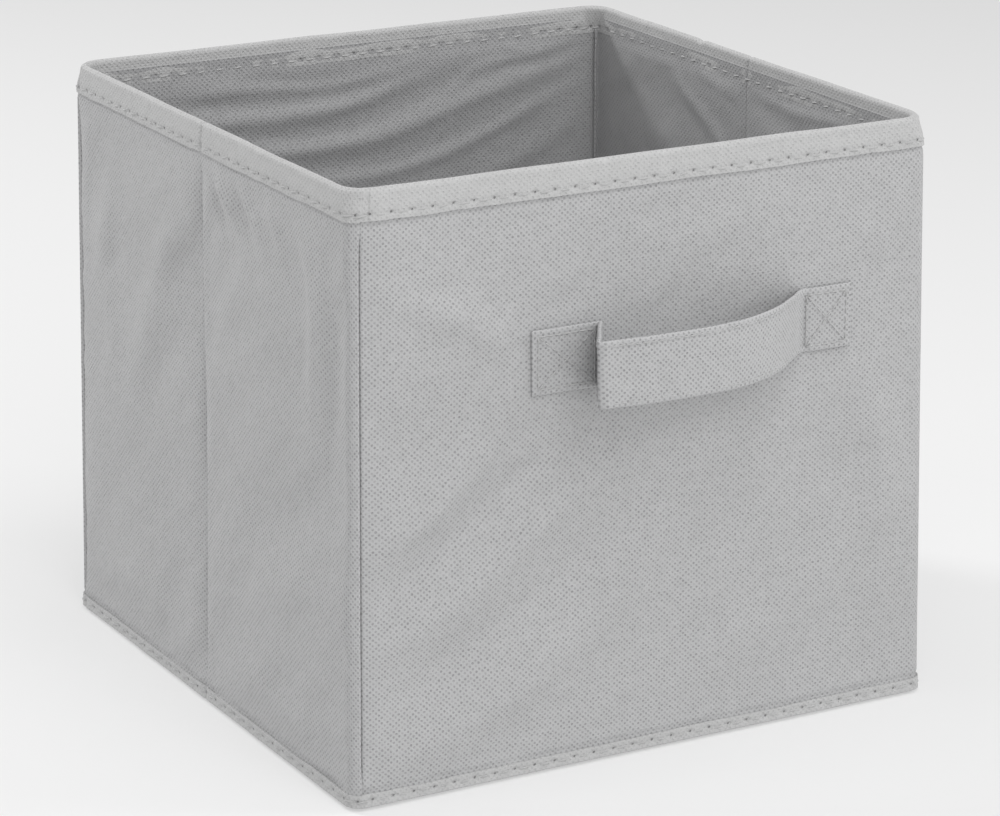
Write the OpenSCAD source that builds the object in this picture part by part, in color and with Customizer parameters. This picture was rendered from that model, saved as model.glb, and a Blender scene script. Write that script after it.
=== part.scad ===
// Foldable fabric storage bin with one front strap handle.
// Six board-stiffened wall panels hang together at soft corners and at a crease
// down the middle of each side. The rim and the hem are bound with tape and
// stitched. A loose stiffened insert lies on the fabric floor.
// The origin is the centre of the footprint, +Z is up and the handle faces -Y.

/* [Overall size] */
// Outer width, left to right
bin_w = 294; // [220:1:400]
// Outer depth, front to back, without the handle
bin_d = 294; // [220:1:400]
// Outer height
bin_h = 280; // [200:1:400]

/* [Wall layers] */
// Thickness of the stiffening board in each wall
board_t = 2.0; // [1.2:0.1:4]
// Thickness of the outer cover fabric
cover_t = 0.5; // [0.3:0.1:1]
// Thickness of the lining fabric
lining_t = 0.5; // [0.3:0.1:1]
// Thickness of the binding tape
tape_t = 0.6; // [0.3:0.1:1]
// How far a board stops short of the ends of its pocket
pocket_slack = 1.0; // [0.5:0.1:3]

/* [Rim and hem] */
// Height of the binding round the rim
rim_h = 14; // [8:0.5:25]
// How far the hem's binding laps up over the cover, above the rolled edge
hem_lap = 2.8; // [2:0.1:8]
// Depth of the rim stitching below the rim's top
rim_stitch_drop = 9; // [4:0.5:11]
// Depth of the hem stitching below the hem's top
hem_stitch_drop = 3.5; // [1:0.5:6]

/* [Stitching] */
// Distance from one stitch to the next
stitch_pitch = 5.6; // [4:0.1:9]
// Length of a stitch on the surface
stitch_len = 3.6; // [2:0.1:3.8]
// Width of the thread
thread_w = 0.6; // [0.3:0.1:1]
// How far the thread stands proud of the fabric
thread_t = 0.3; // [0.1:0.05:0.35]

/* [Soft corners and creases] */
// Clearance between a folded side panel and the insert standing behind it
nest_gap = 0.6; // [0.4:0.1:3]
// Gap between each side panel and the crease line
crease_gap = 0.4; // [0.3:0.1:2]
// Clearance between a swinging panel and the soft seam beside it
swing_gap = 0.3; // [0.2:0.1:1]
// Width of the seam allowance that stands into the bin at each corner
corner_fin = 2.5; // [1:0.1:3]

/* [Handle] */
// Place of the handle's middle, right of the centre of the front
handle_x = 22.5; // [-20:0.5:25]
// Height of the middle of the strap above the floor
handle_z = 192.5; // [120:0.5:195]
// Distance between the two sewn ends of the strap, outside to outside
handle_len = 167; // [140:1:180]
// Width of the strap
strap_w = 30; // [20:1:40]
// Thickness of the folded strap
strap_t = 1.6; // [0.8:0.1:3]
// Length of the flat sewn patch at the left end
left_patch = 35; // [25:1:38]
// Length of the flat sewn patch at the right end
right_patch = 27; // [22:1:38]
// How far the strap's outer face stands away from the front cover
handle_bow = 32; // [25:1:45]
// Inset of the box and cross stitching from the edges of its patch
patch_inset = 3.5; // [2:0.5:6]
// Inset of the stitching along the strap's edges
strap_inset = 2.5; // [1.5:0.5:4]

/* [Base insert] */
// Thickness of the board inside the insert
insert_board_t = 2.0; // [1.2:0.1:4]
// Thickness of the fabric floor
floor_t = 0.5; // [0.3:0.1:1]
// Play between the fabric floor and the insert lying on it
lie_gap = 0.3; // [0.1:0.1:1]
// Clearance between the back wall and the insert standing against it
stand_gap = 0.8; // [0.4:0.1:3]
// Clearance over the lying insert when the walls fold across it
over_gap = 0.8; // [0.4:0.1:2]
// Width of the pull tab
tab_w = 22; // [15:1:40]
// Length of the pull tab
tab_len = 34; // [20:1:60]
// Thickness of the pull tab
tab_t = 0.6; // [0.3:0.1:1.5]

/* [Hidden] */
// A wall's layers from outside to inside, as depths below the outer face
cover_out = tape_t;
board_out = cover_out + cover_t;
board_in = board_out + board_t;
lining_in = board_in + lining_t;
wall_t = lining_in + tape_t;

// Insert: thin enough to stand behind the folded sides, and so clear of the walls all round
insert_t = insert_board_t + 2 * cover_t;
insert_z = floor_t + lie_gap;
insert_gap = insert_t + tab_t + stand_gap;
insert_w = bin_w - 2 * (wall_t + insert_gap);
insert_d = bin_d - 2 * (wall_t + insert_gap);

// Ends of the panels, as places along their walls
half_w = bin_w / 2;
half_d = bin_d / 2;
corner_slack = insert_gap + nest_gap;
hinge_run = half_d - wall_t - corner_slack;
corner_sheet = cover_t + tape_t;

// Levels
hem_roll_h = insert_z + insert_t + tab_t + over_gap;
hem_h = hem_roll_h + hem_lap;
wall_top = bin_h - tape_t;
rim_low = bin_h - rim_h;
rim_stitch_z = bin_h - rim_stitch_drop;
hem_stitch_z = hem_h - hem_stitch_drop;

// Handle's route in plan: how far along the front, and how far out from the cover
strap_mid = strap_t / 2;
bow_mid = handle_bow - strap_mid;
patch_l = handle_x - handle_len / 2;
patch_r = handle_x + handle_len / 2;
loop_l = patch_l + left_patch;
loop_r = patch_r - right_patch;
loop_len = loop_r - loop_l;
strap_guides = [
    [loop_l - 6, strap_mid],
    [loop_l, strap_mid],
    [loop_l - 1.5, bow_mid * 0.22],
    [loop_l - 8, bow_mid * 0.52],
    [loop_l - 7, bow_mid * 0.84],
    [loop_l + 0.10 * loop_len, bow_mid * 0.97],
    [loop_l + 0.32 * loop_len, bow_mid],
    [loop_l + 0.58 * loop_len, bow_mid],
    [loop_l + 0.78 * loop_len, bow_mid * 0.76],
    [loop_l + 0.92 * loop_len, bow_mid * 0.25],
    [loop_r, strap_mid],
    [loop_r + 6, strap_mid]
];
guide_steps = 4;

// Colours of the fabric, tape, thread and board
cover_grey = [0.74, 0.74, 0.74];
lining_grey = [0.62, 0.62, 0.62];
tape_grey = [0.78, 0.78, 0.78];
thread_grey = [0.84, 0.84, 0.84];
board_brown = [0.66, 0.55, 0.42];

// ---------- Wall frames: x runs along the wall, y is depth from its outer face ----------

module on_front() translate([0, -half_d, 0]) children();
module on_back() translate([0, half_d, 0]) rotate(180) children();
module on_left() translate([-half_w, 0, 0]) rotate(-90) children();
module on_right() translate([half_w, 0, 0]) rotate(90) children();

// A slab of the wall between two places, two depths and two heights
module slab(along, depth, level) {
    translate([along[0], depth[0], level[0]])
        cube([along[1] - along[0], depth[1] - depth[0], level[1] - level[0]]);
}

// Spans along each wall. The front and back run from corner to corner, and what lies
// under the corner strips stops short of them. Each side is two halves.
function inset(span, by) = [span[0] + by, span[1] - by];
full_span = [-half_w, half_w];
lap_span = inset(full_span, corner_sheet);
plus_half = [crease_gap, hinge_run];
minus_half = [-hinge_run, -crease_gap];

// ---------- Layers that every wall has ----------

module board(span) {
    color(board_brown)
        slab(inset(span, pocket_slack), [board_out, board_in],
             [hem_roll_h + pocket_slack, wall_top - pocket_slack]);
}

module cover(span) {
    color(cover_grey) slab(span, [cover_out, board_out], [hem_roll_h, wall_top]);
}

module lining(span) {
    color(lining_grey) slab(span, [board_in, lining_in], [hem_roll_h, wall_top]);
}

// Tape folded over the top edge of cover, board and lining
module rim_binding(span) {
    color(tape_grey) {
        slab(span, [0, tape_t], [rim_low, bin_h]);
        slab(span, [tape_t, lining_in], [wall_top, bin_h]);
        slab(span, [lining_in, wall_t], [rim_low, bin_h]);
    }
}

// Tape round the rolled lower edge, with its outer leg lapped over the cover
module hem_binding(span) {
    color(tape_grey) {
        slab(span, [0, wall_t], [0, hem_roll_h]);
        slab(span, [0, tape_t], [hem_roll_h, hem_h]);
    }
}

// A row of stitches on one face, centred on its span
module stitch_row(span, depth, level) {
    run = span[1] - span[0] - stitch_pitch;
    count = floor(run / stitch_pitch) + 1;
    first = (span[0] + span[1] - (count - 1) * stitch_pitch) / 2;
    for (i = [0 : count - 1])
        slab([first + i * stitch_pitch - stitch_len / 2, first + i * stitch_pitch + stitch_len / 2],
             depth, [level - thread_w / 2, level + thread_w / 2]);
}

module rim_stitching(span) {
    color(thread_grey) {
        stitch_row(span, [-thread_t, 0], rim_stitch_z);
        stitch_row(span, [wall_t, wall_t + thread_t], rim_stitch_z);
    }
}

module hem_stitching(span) {
    color(thread_grey) stitch_row(span, [-thread_t, 0], hem_stitch_z);
}

// ---------- Soft joints ----------

// Strip that closes the slack beside a front or back wall, drawn for that wall's low end.
// It laps the end of the wall, spans the slack and carries the standing seam allowance.
module corner_seam() {
    reach = wall_t + corner_slack - swing_gap;
    seam_at = wall_t + (corner_slack - swing_gap) / 2;
    color(cover_grey) {
        slab([-half_w, -half_w + corner_sheet], [wall_t, reach], [0, bin_h]);
        slab([-half_w, -half_w + corner_sheet], [board_out, wall_t], [hem_roll_h, rim_low]);
        slab([-half_w + corner_sheet, -half_w + wall_t + corner_fin],
             [seam_at - corner_sheet / 2, seam_at + corner_sheet / 2], [hem_roll_h, rim_low]);
    }
}

// Web of cover and lining sewn together between the two boards of a side
module crease_seam() {
    color(cover_grey)
        slab([crease_gap * 0.15, crease_gap], [cover_out, lining_in], [hem_roll_h, wall_top]);
}

// ---------- Handle ----------

// Catmull-Rom curve through the middle four of each run of guide points
function spline_at(p, i, t) =
    0.5 * (2 * p[i] + (p[i + 1] - p[i - 1]) * t
    + (2 * p[i - 1] - 5 * p[i] + 4 * p[i + 1] - p[i + 2]) * t * t
    + (3 * p[i] - p[i - 1] - 3 * p[i + 1] + p[i + 2]) * t * t * t);
loop_points = [
    for (i = [1 : len(strap_guides) - 3], s = [0 : guide_steps - 1])
        spline_at(strap_guides, i, s / guide_steps),
    strap_guides[len(strap_guides) - 2]
];
strap_points = concat([[patch_l, strap_mid]], loop_points, [[patch_r, strap_mid]]);

// Unit normal of the strap at one of its points, pointing away from the bin on the bow
function unit(v) = v / norm(v);
function turned(v) = [-v[1], v[0]];
function strap_normal(i) =
    let (n = len(strap_points) - 1)
    let (before = i > 0 ? unit(strap_points[i] - strap_points[i - 1]) : [1, 0])
    let (after = i < n ? unit(strap_points[i + 1] - strap_points[i]) : [1, 0])
    turned(unit(before + after)) / max(0.75, norm(before + after) / 2);
function strap_side(by) = [for (i = [0 : len(strap_points) - 1]) strap_points[i] + strap_normal(i) * by];
function reversed(list) = [for (i = [len(list) - 1 : -1 : 0]) list[i]];

// Places a shape drawn as (along, out) on the front cover, with height up
module off_front(level) translate([0, -half_d + cover_out, level]) mirror([0, 1, 0]) children();

module handle_strap() {
    color(tape_grey)
        off_front(handle_z - strap_w / 2)
            linear_extrude(strap_w)
                polygon(concat(strap_side(strap_mid), reversed(strap_side(-strap_mid))));
}

// Stitches from one point to another, flat on a sewn patch; points are (along, height)
module patch_line(from, to) {
    run = norm(to - from);
    count = max(1, round(run / stitch_pitch));
    for (i = [0 : count - 1]) {
        mid = from + (to - from) * (i + 0.5) / count;
        translate([mid[0], -half_d + cover_out - strap_t - thread_t, mid[1]])
            rotate([0, -atan2(to[1] - from[1], to[0] - from[0]), 0])
                translate([-stitch_len / 2, 0, -thread_w / 2])
                    cube([stitch_len, thread_t, thread_w]);
    }
}

// Box and cross stitched through one end of the strap
module box_cross(from, to) {
    lo = handle_z - strap_w / 2 + patch_inset;
    hi = handle_z + strap_w / 2 - patch_inset;
    color(thread_grey) {
        patch_line([from, lo], [to, lo]);
        patch_line([from, hi], [to, hi]);
        patch_line([from - thread_w, lo + patch_inset], [from - thread_w, hi - patch_inset]);
        patch_line([to + thread_w, lo + patch_inset], [to + thread_w, hi - patch_inset]);
        patch_line([from + patch_inset, lo + patch_inset], [to - patch_inset, hi - patch_inset]);
    }
}

module handle_left_stitching() box_cross(patch_l + patch_inset, loop_l - 2 * patch_inset);
module handle_right_stitching() box_cross(loop_r + patch_inset, patch_r - patch_inset);

// Stitches along both edges of the free strap, one on each straight piece of the bow
module handle_edge_stitching() {
    points = strap_side(strap_mid);
    bow_first = 5 * guide_steps;
    bow_last = len(points) - 3 * guide_steps;
    color(thread_grey)
        for (i = [bow_first : bow_last], edge = [-1, 1]) {
            run = points[i + 1] - points[i];
            dash = min(stitch_len, norm(run) * 0.8);
            off_front(handle_z + edge * (strap_w / 2 - strap_inset) - thread_w / 2)
                translate((points[i] + points[i + 1]) / 2)
                    rotate(atan2(run[1], run[0]))
                        translate([-dash / 2, 0, 0])
                            cube([dash, thread_t, thread_w]);
        }
}

// ---------- Floor and loose insert ----------

module floor_sheet() {
    color(cover_grey)
        translate([-half_w + wall_t, -half_d + wall_t, 0])
            cube([bin_w - 2 * wall_t, bin_d - 2 * wall_t, floor_t]);
}

module base_board() {
    color(board_brown)
        translate([-insert_w / 2 + cover_t, -insert_d / 2 + cover_t, insert_z + cover_t])
            cube([insert_w - 2 * cover_t, insert_d - cover_t, insert_board_t]);
}

// Fabric sleeve round the board, open at its rear edge
module base_cover() {
    color(lining_grey)
        difference() {
            translate([-insert_w / 2, -insert_d / 2, insert_z])
                cube([insert_w, insert_d, insert_t]);
            translate([-insert_w / 2 + cover_t, -insert_d / 2 + cover_t, insert_z + cover_t])
                cube([insert_w - 2 * cover_t, insert_d, insert_board_t]);
        }
}

// Ribbon loop lying flat on the insert at its front edge
module base_pull_tab() {
    color(tape_grey)
        translate([-tab_w / 2, -insert_d / 2 + cover_t, insert_z + insert_t])
            cube([tab_w, tab_len, tab_t]);
}

// ---------- Walls, part by part ----------

module back_board() on_back() board(lap_span);
module back_cover() on_back() cover(full_span);
module back_lining() on_back() lining(lap_span);
module back_rim_binding() on_back() rim_binding(full_span);
module back_hem_binding() on_back() hem_binding(full_span);
module back_rim_stitching() on_back() rim_stitching(lap_span);
module back_hem_stitching() on_back() hem_stitching(lap_span);

module front_board() on_front() board(lap_span);
module front_cover() on_front() cover(full_span);
module front_lining() on_front() lining(lap_span);
module front_rim_binding() on_front() rim_binding(full_span);
module front_hem_binding() on_front() hem_binding(full_span);
module front_rim_stitching() on_front() rim_stitching(lap_span);
module front_hem_stitching() on_front() hem_stitching(lap_span);

module left_rear_board() on_left() board(minus_half);
module left_rear_cover() on_left() cover(minus_half);
module left_rear_lining() on_left() lining(minus_half);
module left_rear_rim_binding() on_left() rim_binding(minus_half);
module left_rear_hem_binding() on_left() hem_binding(minus_half);
module left_rear_rim_stitching() on_left() rim_stitching(minus_half);
module left_rear_hem_stitching() on_left() hem_stitching(minus_half);

module left_front_board() on_left() board(plus_half);
module left_front_cover() on_left() cover(plus_half);
module left_front_lining() on_left() lining(plus_half);
module left_front_rim_binding() on_left() rim_binding(plus_half);
module left_front_hem_binding() on_left() hem_binding(plus_half);
module left_front_rim_stitching() on_left() rim_stitching(plus_half);
module left_front_hem_stitching() on_left() hem_stitching(plus_half);

module right_rear_board() on_right() board(plus_half);
module right_rear_cover() on_right() cover(plus_half);
module right_rear_lining() on_right() lining(plus_half);
module right_rear_rim_binding() on_right() rim_binding(plus_half);
module right_rear_hem_binding() on_right() hem_binding(plus_half);
module right_rear_rim_stitching() on_right() rim_stitching(plus_half);
module right_rear_hem_stitching() on_right() hem_stitching(plus_half);

module right_front_board() on_right() board(minus_half);
module right_front_cover() on_right() cover(minus_half);
module right_front_lining() on_right() lining(minus_half);
module right_front_rim_binding() on_right() rim_binding(minus_half);
module right_front_hem_binding() on_right() hem_binding(minus_half);
module right_front_rim_stitching() on_right() rim_stitching(minus_half);
module right_front_hem_stitching() on_right() hem_stitching(minus_half);

module front_left_corner_seam() on_front() corner_seam();
module front_right_corner_seam() on_front() mirror([1, 0, 0]) corner_seam();
module back_right_corner_seam() on_back() corner_seam();
module back_left_corner_seam() on_back() mirror([1, 0, 0]) corner_seam();
module left_crease_seam() on_left() mirror([1, 0, 0]) crease_seam();
module right_crease_seam() on_right() crease_seam();

back_board();
back_cover();
back_lining();
back_rim_binding();
back_hem_binding();
back_rim_stitching();
back_hem_stitching();
front_board();
front_cover();
front_lining();
front_rim_binding();
front_hem_binding();
front_rim_stitching();
front_hem_stitching();
left_rear_board();
left_rear_cover();
left_rear_lining();
left_rear_rim_binding();
left_rear_hem_binding();
left_rear_rim_stitching();
left_rear_hem_stitching();
left_front_board();
left_front_cover();
left_front_lining();
left_front_rim_binding();
left_front_hem_binding();
left_front_rim_stitching();
left_front_hem_stitching();
right_rear_board();
right_rear_cover();
right_rear_lining();
right_rear_rim_binding();
right_rear_hem_binding();
right_rear_rim_stitching();
right_rear_hem_stitching();
right_front_board();
right_front_cover();
right_front_lining();
right_front_rim_binding();
right_front_hem_binding();
right_front_rim_stitching();
right_front_hem_stitching();
back_left_corner_seam();
back_right_corner_seam();
front_left_corner_seam();
front_right_corner_seam();
left_crease_seam();
right_crease_seam();
handle_strap();
handle_left_stitching();
handle_right_stitching();
handle_edge_stitching();
floor_sheet();
base_board();
base_cover();
base_pull_tab();
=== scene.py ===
"""Visual model of a folding fabric storage bin.

The bin is six stiffened walls in a spun-bonded fabric cover, with a lining, bound
rim and hem, four sewn corners, two side creases, one strap handle and a loose base
insert. Lengths inside the classes are in millimetres; meshes are made in metres.
"""
import logging
import math
from dataclasses import dataclass, field
from enum import Enum
from typing import Any, Callable, Iterable, Sequence, Union

import bpy
import numpy as np
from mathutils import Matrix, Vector


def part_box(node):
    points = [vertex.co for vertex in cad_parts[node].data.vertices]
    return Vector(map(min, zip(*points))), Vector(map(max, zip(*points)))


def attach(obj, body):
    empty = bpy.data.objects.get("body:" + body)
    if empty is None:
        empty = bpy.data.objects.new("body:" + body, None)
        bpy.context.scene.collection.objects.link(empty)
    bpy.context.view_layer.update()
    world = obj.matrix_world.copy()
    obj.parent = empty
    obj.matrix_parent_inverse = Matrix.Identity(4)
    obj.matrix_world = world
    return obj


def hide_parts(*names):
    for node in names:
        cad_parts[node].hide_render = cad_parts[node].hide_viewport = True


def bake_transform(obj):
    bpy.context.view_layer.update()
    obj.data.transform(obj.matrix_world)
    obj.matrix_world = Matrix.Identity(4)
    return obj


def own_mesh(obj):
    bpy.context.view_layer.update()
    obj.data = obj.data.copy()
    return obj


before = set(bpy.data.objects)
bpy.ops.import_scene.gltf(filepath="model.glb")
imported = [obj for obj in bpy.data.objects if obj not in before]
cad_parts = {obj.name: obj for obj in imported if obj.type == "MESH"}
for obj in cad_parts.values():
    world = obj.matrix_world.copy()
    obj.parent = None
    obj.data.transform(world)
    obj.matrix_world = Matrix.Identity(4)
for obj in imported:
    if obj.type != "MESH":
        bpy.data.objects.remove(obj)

LOG = logging.getLogger("storage_bin")
MM = 0.001
SIDE = 294.0
HALF = SIDE / 2
HEIGHT = 280.0
DIAGONAL = 0.7071
HEM_CUT = 400.0
CLOTH_EDGE = 60.0
SEWN_LINES = (8.5, 266.0)
Grid = np.ndarray
Number = Union[int, float]
Colour = tuple[float, float, float]
BLACK: Colour = (0.0, 0.0, 0.0)
WHITE: Colour = (1.0, 1.0, 1.0)


# ---------------------------------------------------------------- shader recipes

class Value:
    """One socket of a shader tree, so that maths on it is written as an expression."""

    def __init__(self, recipe: "Recipe", socket: bpy.types.NodeSocket) -> None:
        """Wraps a socket.

        Args:
            recipe: the tree that the socket is in.
            socket: the output socket.
        """
        self.recipe = recipe
        self.socket = socket

    def math(self, operation: str, *others: Union["Value", Number],
             swap: bool = False) -> "Value":
        """Adds one Math node.

        Args:
            operation: the Math node's operation.
            others: its second and third inputs.
            swap: puts this value second, for the reflected operators.

        Returns:
            The node's result.
        """
        inputs: list[Union[Value, Number]] = [self, *others]
        if swap:
            inputs.reverse()
        return self.recipe.out("ShaderNodeMath", 0, {"operation": operation},
                               dict(enumerate(inputs)))

    def __add__(self, other: Union["Value", Number]) -> "Value":
        """This plus other."""
        return self.math("ADD", other)

    __radd__ = __add__

    def __sub__(self, other: Union["Value", Number]) -> "Value":
        """This less other."""
        return self.math("SUBTRACT", other)

    def __rsub__(self, other: Number) -> "Value":
        """Other less this."""
        return self.math("SUBTRACT", other, swap=True)

    def __mul__(self, other: Union["Value", Number]) -> "Value":
        """This times other."""
        return self.math("MULTIPLY", other)

    __rmul__ = __mul__

    def __truediv__(self, other: Union["Value", Number]) -> "Value":
        """This over other."""
        return self.math("DIVIDE", other)

    def __pow__(self, other: Union["Value", Number]) -> "Value":
        """This to the power other."""
        return self.math("POWER", other)

    def fract(self) -> "Value":
        """The part after the decimal point."""
        return self.math("FRACT")

    def least(self, other: Union["Value", Number]) -> "Value":
        """The smaller of two."""
        return self.math("MINIMUM", other)

    def most(self, other: Union["Value", Number]) -> "Value":
        """The larger of two."""
        return self.math("MAXIMUM", other)

    def root(self) -> "Value":
        """The square root."""
        return self.math("SQRT")

    def away(self) -> "Value":
        """The absolute value."""
        return self.math("ABSOLUTE")

    def ramp(self, low: float, high: float) -> "Value":
        """Smooth step.

        Args:
            low: the value that gives 0.
            high: the value that gives 1.

        Returns:
            A value from 0 to 1.
        """
        return self.recipe.out(
            "ShaderNodeMapRange", 0, {"interpolation_type": "SMOOTHSTEP", "clamp": True},
            {"Value": self, "From Min": low, "From Max": high})


Feed = Union[Value, Number, Sequence[float]]


class Recipe:
    """A material being put together."""

    def __init__(self, name: str) -> None:
        """Starts an empty material.

        Args:
            name: the material's name.
        """
        self.material = bpy.data.materials.new(name)
        self.material.use_nodes = True
        self.tree = self.material.node_tree
        self.tree.nodes.clear()

    def node(self, kind: str, settings: dict[str, Any] | None = None,
             sockets: dict[Union[str, int], Feed] | None = None) -> bpy.types.Node:
        """Adds any node.

        Args:
            kind: the node's type.
            settings: its settings, which are made first.
            sockets: values or links for its input sockets, by name or number.

        Returns:
            The node.
        """
        made = self.tree.nodes.new(kind)
        for key, what in (settings or {}).items():
            setattr(made, key, what)
        for key, what in (sockets or {}).items():
            socket = made.inputs[key]
            if isinstance(what, Value):
                self.tree.links.new(what.socket, socket)
            elif isinstance(what, (int, float)):
                socket.default_value = what
            else:
                parts = tuple(what)
                wide = len(socket.default_value)
                socket.default_value = parts if len(parts) == wide else (*parts, 1.0)[:wide]
        return made

    def out(self, kind: str, result: Union[str, int], settings: dict[str, Any] | None = None,
            sockets: dict[Union[str, int], Feed] | None = None) -> Value:
        """Adds a node and gives one of its results.

        Args:
            kind: the node's type.
            result: the output socket's name or number.
            settings: the node's settings.
            sockets: values or links for its input sockets.

        Returns:
            The chosen output.
        """
        return Value(self, self.node(kind, settings, sockets).outputs[result])

    def blend(self, factor: Feed, first: Feed, second: Feed) -> Value:
        """Mixes two colours.

        Args:
            factor: 0 gives the first, 1 the second.
            first: a colour.
            second: a colour.

        Returns:
            The mixed colour.
        """
        return self.out("ShaderNodeMix", 2, {"data_type": "RGBA"},
                        {0: factor, 6: first, 7: second})

    def shaded(self, tone: Colour, shade: Value) -> Value:
        """Darkens or lightens a colour.

        Args:
            tone: the colour.
            shade: 0 gives black, 1 the colour and 2 twice its strength.

        Returns:
            The shaded colour.
        """
        return self.blend(shade * 0.5, BLACK, tuple(min(1.0, 2.0 * part) for part in tone))

    def scaled(self, vector: Value, by: Sequence[float], turn: float = 0.0) -> Value:
        """Stretches and turns a coordinate.

        Args:
            vector: the coordinate.
            by: the three scales.
            turn: a turn about the third axis, in radians.

        Returns:
            The new coordinate.
        """
        return self.out("ShaderNodeMapping", 0, {"vector_type": "POINT"},
                        {"Vector": vector, "Rotation": (0.0, 0.0, turn), "Scale": by})

    def noise(self, where: Value, scale: float, detail: float = 2.0, rough: float = 0.5) -> Value:
        """Cloudy noise from 0 to 1.

        Args:
            where: the coordinate.
            scale: how many clouds to a metre.
            detail: octaves.
            rough: how strong the finer octaves are.

        Returns:
            The noise.
        """
        return self.out("ShaderNodeTexNoise", 0, {"noise_dimensions": "3D"},
                        {"Vector": where, "Scale": scale, "Detail": detail, "Roughness": rough})

    def close(self, colour: Feed, roughness: Feed, height: Value | None = None,
              depth: float = 0.0001, fixed: dict[str, Feed] | None = None) -> bpy.types.Material:
        """Ends the material in a Principled shader.

        Args:
            colour: its base colour.
            roughness: its roughness.
            height: what drives its bump, 0 to 1.
            depth: how deep the bump is, in metres.
            fixed: other sockets, each with a plain value.

        Returns:
            The finished material.
        """
        sockets: dict[Union[str, int], Feed] = {"Base Color": colour, "Roughness": roughness}
        sockets.update(fixed or {})
        if height is not None:
            sockets["Normal"] = self.out("ShaderNodeBump", 0, {},
                                         {"Strength": 1.0, "Distance": depth, "Height": height})
        shader = self.out("ShaderNodeBsdfPrincipled", 0, {}, sockets)
        self.node("ShaderNodeOutputMaterial", {}, {"Surface": shader})
        return self.material


@dataclass(frozen=True)
class NeedleRow:
    """Needle holes along a run of stitches, in the cut's own coordinates. Their dark colour is
    painted shade in the holes.
    """

    height: float
    pitch: float
    start: float = 0.0
    size: float = 0.42
    painted_hole_shade: float = 0.45


@dataclass(frozen=True)
class Spunbond:
    """Spun-bonded polypropylene felt, embossed with staggered dots."""

    name: str
    tone: Colour
    cloud: float = 0.08
    dots: float = 0.30
    dot_pitch: float = 2.7
    dot_rise: float = 2.53
    dot_size: float = 0.60
    emboss: float = 0.00034
    fuzz: float = 0.09
    sheen: float = 0.15
    rows: tuple[NeedleRow, ...] = ()

    def _lattice(self, u: Value, v: Value, shift: float) -> Value:
        """Finds the nearest dot of one of the two lattices.

        Args:
            u: first coordinate of the cut, in millimetres.
            v: second coordinate.
            shift: 0 for the first lattice, 0.5 for the one between its dots.

        Returns:
            The distance to the dot's middle.
        """
        a = ((u / self.dot_pitch + (shift + 0.5)).fract() - 0.5) * self.dot_pitch
        b = ((v / self.dot_rise + (shift + 0.5)).fract() - 0.5) * self.dot_rise
        return (a * a + b * b).root()

    def material(self) -> bpy.types.Material:
        """Builds the fabric.

        Returns:
            A material that reads the piece's cut, in metres, as UV.
        """
        mix = Recipe(self.name)
        cut = mix.out("ShaderNodeUVMap", 0, {"uv_map": "cut"})
        split = mix.node("ShaderNodeSeparateXYZ", {}, {0: cut})
        u = Value(mix, split.outputs[0]) * 1000.0
        v = Value(mix, split.outputs[1]) * 1000.0
        wander = mix.noise(cut, 900.0, 1.0)
        near = self._lattice(u, v, 0.0).least(self._lattice(u, v, 0.5))
        dot = 1.0 - (near + (wander - 0.5) * 0.35).ramp(self.dot_size * 0.55, self.dot_size * 1.25)
        patchy = mix.noise(cut, 520.0, 2.0).ramp(0.32, 0.66)
        dot = dot * (0.35 + patchy * 0.75)
        clouds = mix.noise(cut, 160.0, 3.0, 0.55)
        broad = mix.noise(cut, 22.0, 2.0, 0.5)
        fibre_up = mix.noise(mix.scaled(cut, (2600.0, 420.0, 1.0), 0.25), 1.0, 2.0)
        fibre_on = mix.noise(mix.scaled(cut, (420.0, 2600.0, 1.0), -0.35), 1.0, 2.0)
        fibres = fibre_up + fibre_on - 1.0
        shade = (1.0 + (clouds - 0.5) * (2.0 * self.cloud) + (broad - 0.5) * self.cloud
                 + fibres * self.fuzz - dot * self.dots)
        height = 0.6 + fibres * 0.22 + (clouds - 0.5) * 0.2 - dot * 0.6
        for row in self.rows:
            along = ((u - row.start) / row.pitch + 0.5).fract() * row.pitch - row.pitch / 2
            across = v - row.height
            hole = 1.0 - (along * along * 0.8 + across * across).root().ramp(
                row.size * 0.55, row.size * 1.5)
            dent = 1.0 - (along * along * 0.25 + across * across).root().ramp(
                row.size, row.size * 3.2)
            # Painted shade: darkens the tape in each needle hole and, faintly, in the dent round
            # it.
            shade = shade * (1.0 - hole * row.painted_hole_shade) * (1.0 - dent * 0.05)
            height = height - hole * 2.0 - dent * 0.8
        colour = mix.shaded(self.tone, shade)
        rough = 0.80 + (clouds - 0.5) * 0.15 + dot * 0.08
        return mix.close(colour, rough, height, self.emboss, {
            "Sheen Weight": self.sheen, "Sheen Roughness": 0.45, "Specular IOR Level": 0.28})


@dataclass(frozen=True)
class Thread:
    """Spun polyester sewing thread, two ply."""

    name: str
    tone: Colour

    def material(self) -> bpy.types.Material:
        """Builds the thread, with its twist along the stitch's own UV.

        Returns:
            The material.
        """
        mix = Recipe(self.name)
        cut = mix.out("ShaderNodeUVMap", 0, {"uv_map": "cut"})
        split = mix.node("ShaderNodeSeparateXYZ", {}, {0: cut})
        along = Value(mix, split.outputs[0])
        round_ = Value(mix, split.outputs[1])
        ply = ((along * 2200.0 + round_ * 2.0).fract() - 0.5).away() * 2.0
        place = mix.out("ShaderNodeTexCoord", "Object")
        lint = mix.noise(place, 2400.0, 2.0)
        shade = 0.84 + ply * 0.16 + (lint - 0.5) * 0.14
        colour = mix.shaded(self.tone, shade)
        return mix.close(colour, 0.62 + (lint - 0.5) * 0.2, ply * 0.7 + lint * 0.3, 0.00008,
                         {"Sheen Weight": 0.2, "Sheen Roughness": 0.4})


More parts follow.
